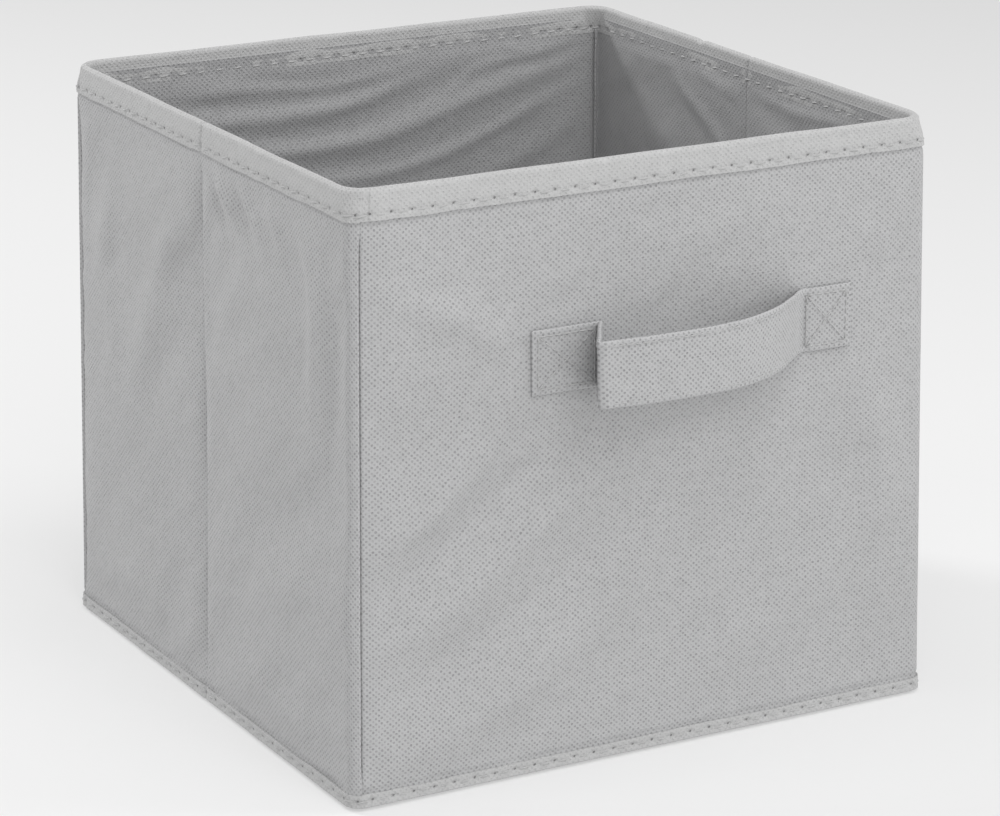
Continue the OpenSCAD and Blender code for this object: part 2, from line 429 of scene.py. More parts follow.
@dataclass(frozen=True)
class Cardboard:
    """Grey chipboard."""

    name: str
    tone: Colour

    def material(self) -> bpy.types.Material:
        """Builds the board, on Object coordinates because one board is a CAD solid.

        Returns:
            The material.
        """
        mix = Recipe(self.name)
        place = mix.out("ShaderNodeTexCoord", "Object")
        pulp = mix.noise(mix.scaled(place, (1.0, 1.0, 2.5)), 180.0, 4.0, 0.6)
        fleck = mix.noise(place, 900.0, 2.0)
        speck = fleck.ramp(0.66, 0.74)
        shade = 1.0 + (pulp - 0.5) * 0.25 - speck * 0.25
        colour = mix.shaded(self.tone, shade)
        return mix.close(colour, 0.86 + (pulp - 0.5) * 0.12, pulp * 0.7 + fleck * 0.3, 0.00012)


@dataclass(frozen=True)
class Sweep:
    """The pale studio floor."""

    name: str
    tone: Colour
    glow: float

    def material(self) -> bpy.types.Material:
        """Builds the floor.

        Returns:
            The material.
        """
        mix = Recipe(self.name)
        place = mix.out("ShaderNodeTexCoord", "Object")
        tooth = mix.noise(place, 300.0, 2.0)
        return mix.close(self.tone, 0.9 + (tooth - 0.5) * 0.1, tooth, 0.00002,
                         {"Emission Color": WHITE, "Emission Strength": self.glow,
                          "Specular IOR Level": 0.1})


# ---------------------------------------------------------------- where the cloth lies

class Wall(Enum):
    """The four sides, in the order that the perimeter is measured round them."""

    FRONT = 0
    RIGHT = 1
    BACK = 2
    LEFT = 3

    def run(self, place: Number) -> float:
        """Perimeter run of a point of this wall.

        Args:
            place: its X on the front or back, its Y on the right or left.

        Returns:
            The run round the bin, in millimetres.
        """
        middle = self.value * SIDE + HALF
        return middle + place if self in (Wall.FRONT, Wall.RIGHT) else middle - place


def smooth(value: Grid, low: float, high: float) -> Grid:
    """Smooth step.

    Args:
        value: where.
        low: the value that gives 0.
        high: the value that gives 1, which may be the lower number.

    Returns:
        A value from 0 to 1.
    """
    t = np.clip((value - low) / (high - low), 0.0, 1.0)
    return t * t * (3 - 2 * t)


@dataclass(frozen=True)
class Outline:
    """Plan of the bin: a square with soft corners, whose cover leans out to its foot."""

    top_lean: float = 1.4
    foot_lean: float = 5.4
    corner: float = 7.0
    rim_corner: float = 13.0
    rim_drop: float = 16.0

    def lean(self, height: Grid) -> Grid:
        """How far the slack cover stands out from the board at a height."""
        height = np.asarray(height, float)
        return self.foot_lean + (self.top_lean - self.foot_lean) * height / HEIGHT

    def radius(self, height: Grid) -> Grid:
        """Corner radius at a height: the binding pulls the corners round."""
        t = smooth(height, HEIGHT - self.rim_drop, HEIGHT)
        return self.corner + (self.rim_corner - self.corner) * t

    def place(self, run: Grid, height: Grid, depth: Grid, lean: Grid | float = 0.0) -> Grid:
        """Points of the wall.

        Args:
            run: perimeter run from the front left corner, in millimetres.
            height: height above the floor.
            depth: how far in from the outer face.
            lean: how far the whole outline is let out.

        Returns:
            An array of points, in metres.
        """
        run, height, depth, lean = np.broadcast_arrays(
            *(np.asarray(a, float) for a in (run, height, depth, lean)))
        run = np.mod(run, 4 * SIDE)
        wall = np.minimum(np.floor(run / SIDE), 3)
        along = run - wall * SIDE - HALF
        half = HALF + lean
        radius = self.radius(height)
        near = half - np.abs(along) * half / HALF
        angle = math.pi / 4 * np.clip(1.0 - near / radius, 0.0, 1.0)
        inner = np.maximum(radius - depth, 0.25)
        centre = half - radius
        turning = near < radius
        side = np.where(turning, centre + inner * np.sin(angle), half - near) * np.sign(along)
        out = np.where(turning, centre + inner * np.cos(angle), half - depth)
        x = np.choose(wall.astype(int), [side, out, -side, -out])
        y = np.choose(wall.astype(int), [-out, side, out, -side])
        return np.stack([x, y, height], -1) * MM


class Clouds:
    """Smooth seeded noise over a cut of cloth."""

    def __init__(self, seed: int) -> None:
        """Draws the lattice.

        Args:
            seed: which pattern.
        """
        self.lattice = np.random.default_rng(seed).uniform(-1.0, 1.0, (96, 96))

    def __call__(self, x: Grid, y: Grid, cell: float, stretch: float = 1.0,
                 turn: float = 0.0) -> Grid:
        """Noise from about -1 to 1.

        Args:
            x: first coordinate, in millimetres.
            y: second coordinate.
            cell: size of a cloud across its length.
            stretch: how many times longer it is.
            turn: which way its length lies, in degrees from x.

        Returns:
            The noise at each point.
        """
        c, s = math.cos(math.radians(turn)), math.sin(math.radians(turn))
        a = (x * c + y * s) / (cell * stretch) + 31.7
        b = (-x * s + y * c) / cell + 17.3
        i, j = np.floor(a).astype(int), np.floor(b).astype(int)
        fa, fb = a - i, b - j
        fa, fb = fa ** 3 * (fa * (fa * 6 - 15) + 10), fb ** 3 * (fb * (fb * 6 - 15) + 10)
        n = self.lattice.shape[0]
        g = self.lattice
        low = g[i % n, j % n] * (1 - fa) + g[(i + 1) % n, j % n] * fa
        high = g[i % n, (j + 1) % n] * (1 - fa) + g[(i + 1) % n, (j + 1) % n] * fa
        return low * (1 - fb) + high * fb


@dataclass(frozen=True)
class Fold:
    """One wrinkle: a ridge, or a valley where rise is negative, along a bent line."""

    line: tuple[tuple[float, float], ...]
    rise: float
    width: float
    lop: float = 0.0
    fade: float = 0.35

    def height(self, x: Grid, y: Grid) -> Grid:
        """How far the wrinkle lifts the cloth.

        Args:
            x: first coordinate of the cut, in millimetres.
            y: second coordinate.

        Returns:
            The lift at each point.
        """
        pts = np.array(bent(self.line, 7))
        steps = np.hypot(*(pts[1:] - pts[:-1]).T)
        total = steps.sum()
        best = np.full(x.shape, 1e9)
        signed = np.zeros(x.shape)
        share = np.zeros(x.shape)
        gone = 0.0
        for (p, q, step) in zip(pts[:-1], pts[1:], steps):
            d = (q - p) / max(step, 1e-6)
            t = np.clip((x - p[0]) * d[0] + (y - p[1]) * d[1], 0.0, step)
            off_x, off_y = x - p[0] - t * d[0], y - p[1] - t * d[1]
            far = np.hypot(off_x, off_y)
            closer = far < best
            best = np.where(closer, far, best)
            signed = np.where(closer, np.sign(d[0] * off_y - d[1] * off_x), signed)
            share = np.where(closer, (gone + t) / total, share)
            gone += step
        width = self.width * (1.0 + self.lop * signed)
        ends = smooth(share, 0.0, self.fade) * smooth(1.0 - share, 0.0, self.fade)
        return self.rise * np.exp(-(best / width) ** 2) * (0.25 + 0.75 * ends) * (best < 1e8)


def wrinkles(wall: Wall, *rows: Sequence[Any]) -> tuple[Fold, ...]:
    """Lays wrinkles out on one wall.

    Args:
        wall: the wall.
        rows: for each wrinkle its rise, width and lop, and then the points of its line,
            each as a place along the wall and a height.

    Returns:
        The wrinkles, on perimeter run and height.
    """
    return tuple(Fold(tuple((wall.run(along), up) for along, up in line), rise, width, lop)
                 for rise, width, lop, *line in rows)


def bent(points: Sequence[Sequence[float]], parts: int) -> list[Grid]:
    """A smooth line through points.

    Args:
        points: what it passes through.
        parts: how many steps it takes between two of them.

    Returns:
        The line's points.
    """
    p = [np.array(q, float) for q in points]
    p = [2 * p[0] - p[1], *p, 2 * p[-1] - p[-2]]
    line = []
    for a, b, c, d in zip(p, p[1:], p[2:], p[3:]):
        for k in range(parts):
            t = k / parts
            line.append(0.5 * (2 * b + (c - a) * t + (2 * a - 5 * b + 4 * c - d) * t * t
                               + (3 * b - a - 3 * c + d) * t ** 3))
    return [*line, p[-2]]


def stops(start: float, end: float, step: float, fine: Iterable[float] = (), tight: float = 0.5,
          reach: float = 3.0) -> Grid:
    """Where a cloth's threads of vertices run: even, and closer near some lines.

    Args:
        start: first run.
        end: last run.
        step: the usual distance.
        fine: where they are closer.
        tight: the distance there.
        reach: how far each side of it.

    Returns:
        The runs in order.
    """
    even = np.linspace(start, end, max(2, int(round((end - start) / step)) + 1))
    keep = [even]
    for line in fine:
        keep = [k[np.abs(k - line) > reach] for k in keep]
        extra = np.arange(line - reach, line + reach + tight / 2, tight)
        keep.append(extra[(extra > start + 1e-6) & (extra < end - 1e-6)])
    out = np.unique(np.round(np.concatenate([[start, end], *keep]), 4))
    gap = np.diff(out) > tight * 0.45
    return out[np.concatenate([[True], gap[:-1], [True]])] if len(out) > 2 else out


# ---------------------------------------------------------------- making meshes

def clear_selection() -> None:
    """Deselects every object."""
    if bpy.context.mode != "OBJECT":
        bpy.ops.object.mode_set(mode="OBJECT")
    bpy.ops.object.select_all(action="DESELECT")


def mesh_from(name: str, points: Grid, faces: Grid, cut: Grid) -> bpy.types.Object:
    """Makes an object of quads.

    Args:
        name: the object's name.
        points: its vertices, in metres.
        faces: four vertex numbers to a face.
        cut: a UV, in metres, for each vertex.

    Returns:
        The object, linked to the scene.
    """
    mesh = bpy.data.meshes.new(name)
    count = len(faces)
    mesh.vertices.add(len(points))
    mesh.vertices.foreach_set("co", np.ascontiguousarray(points, np.float32).ravel())
    mesh.loops.add(count * 4)
    mesh.loops.foreach_set("vertex_index", np.ascontiguousarray(faces, np.int32).ravel())
    mesh.polygons.add(count)
    mesh.polygons.foreach_set("loop_start", np.arange(0, count * 4, 4, dtype=np.int32))
    mesh.update(calc_edges=True)
    layer = mesh.uv_layers.new(name="cut")
    layer.data.foreach_set("uv", np.ascontiguousarray(cut[faces.ravel()], np.float32).ravel())
    mesh.validate()
    made = bpy.data.objects.new(name, mesh)
    bpy.context.scene.collection.objects.link(made)
    return made


def smooth_shade(piece: bpy.types.Object, degrees: float = 50.0) -> bpy.types.Object:
    """Shades a piece smooth but for its hard edges.

    Args:
        piece: the object.
        degrees: the angle past which an edge stays hard.

    Returns:
        The same object.
    """
    clear_selection()
    piece.select_set(True)
    bpy.context.view_layer.objects.active = piece
    bpy.ops.object.shade_smooth_by_angle(angle=math.radians(degrees))
    piece.select_set(False)
    return piece


def inside_out(points: Grid, faces: Grid) -> bool:
    """Tells whether a closed mesh of quads has its faces pointing in.

    Args:
        points: its vertices.
        faces: four vertex numbers to a face.

    Returns:
        True if its volume comes out negative.
    """
    a, b, c, d = (points[faces[:, k]] - points.mean(0) for k in range(4))
    volume = np.einsum("ij,ij->i", a, np.cross(b, c)) + np.einsum("ij,ij->i", a, np.cross(c, d))
    return bool(volume.sum() < 0.0)


def closed_cloth(name: str, outer: Grid, inner: Grid, cut: Grid,
                 angle: float = 50.0) -> bpy.types.Object:
    """Makes a thin closed sheet from its two faces.

    Args:
        name: the object's name.
        outer: points of the outward face, along by up by 3, in metres.
        inner: points of the other face.
        cut: flat coordinates of both, along by up by 2, in metres.
        angle: which edges stay hard.

    Returns:
        The sheet.
    """
    along, up = outer.shape[:2]
    number = np.arange(along * up).reshape(along, up)
    front = np.stack([number[:-1, :-1], number[1:, :-1], number[1:, 1:], number[:-1, 1:]], -1)
    front = front.reshape(-1, 4)
    back = front[:, ::-1] + along * up
    rim = np.concatenate([number[:-1, 0], number[-1, :-1], number[:0:-1, -1], number[0, :0:-1]])
    ahead = np.roll(rim, -1)
    edge = np.stack([ahead, rim, rim + along * up, ahead + along * up], -1)
    points = np.concatenate([outer.reshape(-1, 3), inner.reshape(-1, 3)])
    flat = np.concatenate([cut.reshape(-1, 2)] * 2)
    faces = np.concatenate([front, back, edge])
    if inside_out(points, faces):
        faces = faces[:, ::-1]
    return smooth_shade(mesh_from(name, points, faces, flat), angle)


def dress(piece: bpy.types.Object, material: bpy.types.Material) -> bpy.types.Object:
    """Gives a piece its finish.

    Args:
        piece: the object.
        material: its material.

    Returns:
        The same object.
    """
    piece.data.materials.clear()
    piece.data.materials.append(material)
    return piece


class StitchMaker:
    """Makes rows of stitches from one modelled stitch."""

    def __init__(self, length: float = 4.0, thick: float = 0.62, proud: float = 0.42) -> None:
        """Models the one stitch, then keeps its shape, numbered the same way in every run.

        Args:
            length: from needle hole to needle hole.
            thick: the thread's diameter.
            proud: how far its middle stands above the cloth.
        """
        clear_selection()
        bpy.ops.mesh.primitive_uv_sphere_add(segments=8, ring_count=8, radius=0.5,
                                             rotation=(0, math.pi / 2, 0))
        piece = bpy.context.active_object
        bpy.ops.object.transform_apply(location=True, rotation=True, scale=True)
        bpy.ops.object.mode_set(mode="EDIT")
        bpy.ops.mesh.select_all(action="SELECT")
        bpy.ops.transform.resize(value=(length, thick, thick))
        bpy.ops.object.mode_set(mode="OBJECT")
        points = np.array([v.co for v in piece.data.vertices])
        t = np.clip(np.abs(points[:, 0]) / (length / 2), 0, 1)
        bend = (proud - thick / 2) - (thick * 0.95) * t ** 2.6
        order = np.lexsort(np.round(points, 6).T)
        rank = [int(k) for k in np.argsort(order)]
        self.points = (points + np.stack([0 * t, 0 * t, bend], -1))[order]
        self.faces = sorted(tuple(rank[v] for v in p.vertices) for p in piece.data.polygons)
        self.round = (np.arctan2(points[:, 1], points[:, 2]) / (2 * math.pi))[order]
        bpy.data.objects.remove(piece, do_unlink=True)

    def row(self, name: str, centres: Grid, ahead: Grid, lift: Grid, seed: int,
            lean: float = 6.0) -> bpy.types.Object:
        """Lays a row of stitches, each a copy with small differences.

        Args:
            name: the row's name.
            centres: the middle of each stitch on the cloth, in metres.
            ahead: unit vectors along each stitch.
            lift: unit vectors out of the cloth.
            seed: which differences.
            lean: how many degrees the stitches slant.

        Returns:
            One object with the whole row.
        """
        chance = np.random.default_rng(seed)
        side = np.cross(lift, ahead)
        count, size = len(centres), len(self.points)
        turn = np.radians(lean + chance.normal(0.0, 3.0, count))[:, None]
        a = ahead * np.cos(turn) + side * np.sin(turn)
        b = side * np.cos(turn) - ahead * np.sin(turn)
        local = np.repeat(self.points[None] * MM, count, 0)
        local[..., 0] *= chance.uniform(0.92, 1.05, (count, 1))
        points = (centres[:, None] + local[..., :1] * a[:, None] + local[..., 1:2] * b[:, None]
                  + local[..., 2:] * lift[:, None]).reshape(-1, 3)
        mesh = bpy.data.meshes.new(name)
        faces = [tuple(v + k * size for v in f) for k in range(count) for f in self.faces]
        mesh.from_pydata(points.tolist(), [], faces)
        layer = mesh.uv_layers.new(name="cut")
        flat = np.stack([np.tile(self.points[:, 0] * MM, count), np.tile(self.round, count)], -1)
        index = np.zeros(len(mesh.loops), np.int32)
        mesh.loops.foreach_get("vertex_index", index)
        layer.data.foreach_set("uv", flat[index].astype(np.float32).ravel())
        made = bpy.data.objects.new(name, mesh)
        bpy.context.scene.collection.objects.link(made)
        return smooth_shade(made, 80.0)


# ---------------------------------------------------------------- the bin's sub-assemblies

@dataclass(frozen=True)
class Panel:
    """One stiffened wall panel and where it runs on the perimeter."""

    name: str
    body: str
    start: float
    end: float
    wall: Wall
    folds_away: bool = False

    @property
    def outward(self) -> tuple[float, float, float]:
        """The panel's outward direction.

        Returns:
            A unit vector.
        """
        return {Wall.FRONT: (0.0, -1.0, 0.0), Wall.RIGHT: (1.0, 0.0, 0.0),
                Wall.BACK: (0.0, 1.0, 0.0), Wall.LEFT: (-1.0, 0.0, 0.0)}[self.wall]

    def anchor(self, depth: float) -> tuple[float, float, float]:
        """A point of the panel at a depth, in metres."""
        return tuple(c * (HALF - depth) * MM for c in self.outward)


@dataclass(frozen=True)
class Strip:
    """A narrow run of cloth that crosses a fold line between two bodies."""

    name: str
    first: str
    second: str
    start: float
    end: float
    seam_at_start: bool
    node: str


CORNER = 9.2
CREASE = 1.6
SPLIT = 0.15
SEAM = 4.7
PANELS = (
    Panel("front", "front", SEAM, SIDE + SEAM, Wall.FRONT),
    Panel("right_front", "right_front", SIDE + CORNER, SIDE + HALF - SPLIT, Wall.RIGHT, True),
    Panel("right_rear", "right_rear", SIDE + HALF + SPLIT, 2 * SIDE - CORNER, Wall.RIGHT, True),
    Panel("back", "back", 2 * SIDE + SEAM, 3 * SIDE + SEAM, Wall.BACK),
    Panel("left_rear", "left_rear", 3 * SIDE + CORNER, 3 * SIDE + HALF - CREASE, Wall.LEFT, True),
    Panel("left_front", "left_front", 3 * SIDE + HALF + CREASE, 4 * SIDE - CORNER, Wall.LEFT,
          True),
)
STRIPS = (
    Strip("front_right_corner", "front", "right_front", SIDE + SEAM, SIDE + CORNER,
          True, "front_right_corner_seam"),
    Strip("back_right_corner", "right_rear", "back", 2 * SIDE - CORNER, 2 * SIDE + SEAM,
          False, "back_right_corner_seam"),
    Strip("back_left_corner", "back", "left_rear", 3 * SIDE + SEAM, 3 * SIDE + CORNER,
          True, "back_left_corner_seam"),
    Strip("left_crease", "left_rear", "left_front",
          3 * SIDE + HALF - CREASE, 3 * SIDE + HALF + CREASE,
          False, "left_crease_seam"),
    Strip("front_left_corner", "left_front", "front", 4 * SIDE - CORNER, 4 * SIDE + SEAM,
          False, "front_left_corner_seam"),
)
SEAMS = tuple(k * SIDE + SEAM for k in range(5))
CORNERS = tuple(k * SIDE for k in range(5))
CREASES = (SIDE + HALF, 3 * SIDE + HALF)


def close_to(start: float, end: float, lines: Iterable[float]) -> list[float]:
    """Picks the upright lines that a run of cloth crosses, or nearly.

    Args:
        start: first run.
        end: last run.
        lines: the runs of the lines.

    Returns:
        Those within 2 mm of the cloth.
    """
    return [line for line in lines if start - 2 < line < end + 2]


def from_line(run: Grid, lines: Iterable[float]) -> Grid:
    """Signed distance from the nearest of some upright lines.

    Args:
        run: perimeter run.
        lines: the runs of the lines.

    Returns:
        The distance, positive after the line.
    """
    gaps = np.stack([np.asarray(run, float) - line for line in lines])
    return np.take_along_axis(gaps, np.abs(gaps).argmin(0)[None], 0)[0]


@dataclass
class CoverRelief:
    """How the outer fabric lies: slack undulations, seams, creases and wrinkles."""

    undulation: float = 1.7
    front_swell: float = 3.0
    side_swell: float = 1.5
    crinkle: float = 0.10
    seam_depth: float = 1.3
    seam_width: float = 0.62
    sewn_depths: tuple[float, float] = (0.65, 0.75)
    patches: tuple[tuple[float, float], ...] = ((-61.0, -24.0), (78.0, 106.0))
    patch_heights: tuple[float, float] = (177.5, 207.5)
    broad: Clouds = field(default_factory=lambda: Clouds(11))
    fine: Clouds = field(default_factory=lambda: Clouds(23))

    def folds(self) -> dict[Wall, tuple[Fold, ...]]:
        """Lays out the wrinkles of the cover.

        Returns:
            Each wall's wrinkles.
        """
        return {
            Wall.LEFT: wrinkles(
                Wall.LEFT,
                (1.5, 2.8, 0.35, (-12, 270), (-20, 256), (-36, 238)),
                (-1.0, 2.6, 0.0, (-9, 262), (-14, 250), (-26, 232)),
                (1.4, 3.2, 0.35, (-36, 270), (-46, 254), (-66, 236)),
                (-0.9, 3.0, 0.0, (-30, 264), (-40, 248), (-56, 232)),
                (0.8, 3.6, 0.3, (-62, 268), (-74, 250), (-86, 230)),
                (1.3, 13.0, 0.0, (16, 262), (24, 241), (43, 204), (67, 152), (90, 99)),
                (-0.6, 11.0, 0.0, (84, 252), (98, 208), (112, 150)),
                (1.5, 9.0, 0.3, (-96, 262), (-114, 222), (-108, 160)),
                (-1.0, 6.0, 0.0, (-128, 240), (-132, 200), (-126, 150)),
                (-1.1, 13.0, 0.0, (-24, 130), (-70, 116), (-134, 132)),
                (1.0, 12.0, 0.0, (-20, 90), (-66, 84), (-130, 98)),
                (0.9, 10.0, 0.0, (-30, 34), (-80, 24), (-136, 36)),
                (1.1, 11.0, 0.0, (96, 250), (110, 200), (100, 130)),
                (0.9, 9.0, 0.0, (20, 26), (70, 36), (130, 22)),
            ),
            Wall.FRONT: wrinkles(
                Wall.FRONT,
                (1.1, 8.0, 0.3, (-140, 112), (-100, 138), (-62, 170)),
                (-1.1, 7.0, 0.0, (-140, 92), (-98, 118), (-58, 146), (-20, 164)),
                (1.1, 8.0, -0.3, (-138, 66), (-90, 92), (-44, 128), (-8, 150)),
                (-0.9, 9.0, 0.0, (-134, 40), (-84, 68), (-34, 100), (10, 136)),
                (0.8, 10.0, 0.0, (-128, 14), (-70, 40), (-20, 76), (30, 118)),
                (-0.9, 10.0, 0.0, (-70, 160), (-10, 158), (60, 150)),
                (0.7, 8.0, 0.0, (-132, 232), (-90, 214), (-66, 200)),
                (0.2, 10.0, 0.0, (-40, 252), (20, 240), (90, 250)),
                (0.8, 12.0, 0.0, (108, 170), (122, 120), (118, 60)),
                (0.7, 13.0, 0.0, (20, 30), (70, 50), (110, 90)),
                (0.6, 8.0, 0.0, (110, 215), (124, 235), (132, 256)),
            ),
            Wall.RIGHT: wrinkles(
                Wall.RIGHT,
                (0.9, 9.0, 0.0, (10, 262), (30, 210), (46, 120)),
                (0.8, 4.0, 0.3, (-24, 266), (-40, 240), (-66, 226)),
                (0.7, 13.0, 0.0, (-100, 250), (-110, 190), (-100, 120)),
                (0.6, 14.0, 0.0, (96, 250), (110, 180), (100, 90)),
            ),
            Wall.BACK: wrinkles(
                Wall.BACK,
                (0.6, 12.0, 0.0, (-120, 220), (-60, 180), (0, 168)),
                (0.6, 10.0, 0.0, (30, 240), (80, 200), (128, 190)),
                (0.6, 14.0, 0.0, (-100, 60), (-20, 84), (60, 70)),
            ),
        }

    def height(self, wall: Wall, run: Grid, up: Grid) -> Grid:
        """How far the cover stands out of its flat: wrinkles, then seams, crease and patches.

        Args:
            wall: which side.
            run: perimeter run.
            up: height above the floor.

        Returns:
            The lift in millimetres.
        """
        lift = self.undulation * (0.62 * self.broad(run, up, 26.0, 2.4, 34.0)
                                  + 0.38 * self.broad(run + 400, up, 13.0, 2.8, 40.0))
        lift = lift + self.crinkle * self.fine(run, up, 5.0, 1.6, 20.0)
        swell = self.front_swell if wall is Wall.FRONT else self.side_swell
        for fold in self.folds()[wall]:
            lift = lift + swell * fold.height(run, up)
        seam = from_line(run, SEAMS)
        lift = lift * smooth(np.abs(seam), 2.0, 16.0)
        pucker = 1.0 + 0.35 * self.fine(run * 0.15, up, 7.0)
        seam_fall = np.where(seam > 0, 1.9 * np.exp(-seam / 5.0), 0.25 * np.exp(seam / 2.0))
        lift = lift - seam_fall * pucker
        lift = lift - self.seam_depth * np.exp(-(seam / self.seam_width) ** 2)
        if wall in (Wall.LEFT, Wall.RIGHT):
            lift = self._creased(lift, run, up)
        if wall is Wall.FRONT:
            lift = self._pressed(lift, run, up)
        rim = smooth(up, 250.0, 264.0)
        foot = 1.0 - smooth(up, 9.0, 22.0)
        lift = lift * (1.0 - 0.85 * rim) * (1.0 - 0.8 * foot)
        tuck = 0.7 + 0.3 * self.fine(run, up * 0, 9.0)
        hem_tuck, rim_tuck = self.sewn_depths
        lift = lift - rim_tuck * tuck * np.exp(-((up - 264.9) / 1.3) ** 2)
        return lift - hem_tuck * tuck * np.exp(-((up - 8.6) / 1.2) ** 2)

    def _creased(self, lift: Grid, run: Grid, up: Grid) -> Grid:
        """Sinks the cover into a side's crease: deep before it, shallow after it.

        Args:
            lift: the lift so far, in millimetres.
            run: perimeter run.
            up: height above the floor.

        Returns:
            The new lift.
        """
        sway = 1.6 * self.broad(run * 0 + 7, up, 70.0) + 0.5 * self.broad(run * 0 + 90, up, 22.0)
        held = smooth(up, 262.0, 240.0) * smooth(up, 10.0, 40.0)
        crease = from_line(run, CREASES) + sway * held
        lift = lift * smooth(np.abs(crease), 0.0, 9.0)
        slack = smooth(up, 262.0, 190.0) * smooth(up, 4.0, 60.0)
        wide = 4.5 + 5.0 * slack
        before = (1.9 + 2.3 * slack) * np.exp(np.minimum(crease, 0.0) / wide)
        after = (0.5 + 0.8 * slack) * np.exp(-np.maximum(crease, 0.0) / 6.0)
        step = smooth(crease, -0.3, 0.5)
        return lift - (before * (1.0 - step) + after * step)

    def _pressed(self, lift: Grid, run: Grid, up: Grid) -> Grid:
        """Presses the front flat under the handle's two sewn patches.

        Args:
            lift: the lift so far, in millimetres.
            run: perimeter run.
            up: height above the floor.

        Returns:
            The new lift.
        """
        x = run - Wall.FRONT.run(0.0)
        low, high = self.patch_heights
        for left, right in self.patches:
            away = np.maximum(np.maximum(left - x, x - right), np.maximum(low - up, up - high))
            lift = lift * smooth(away, 0.5, 14.0)
        return lift


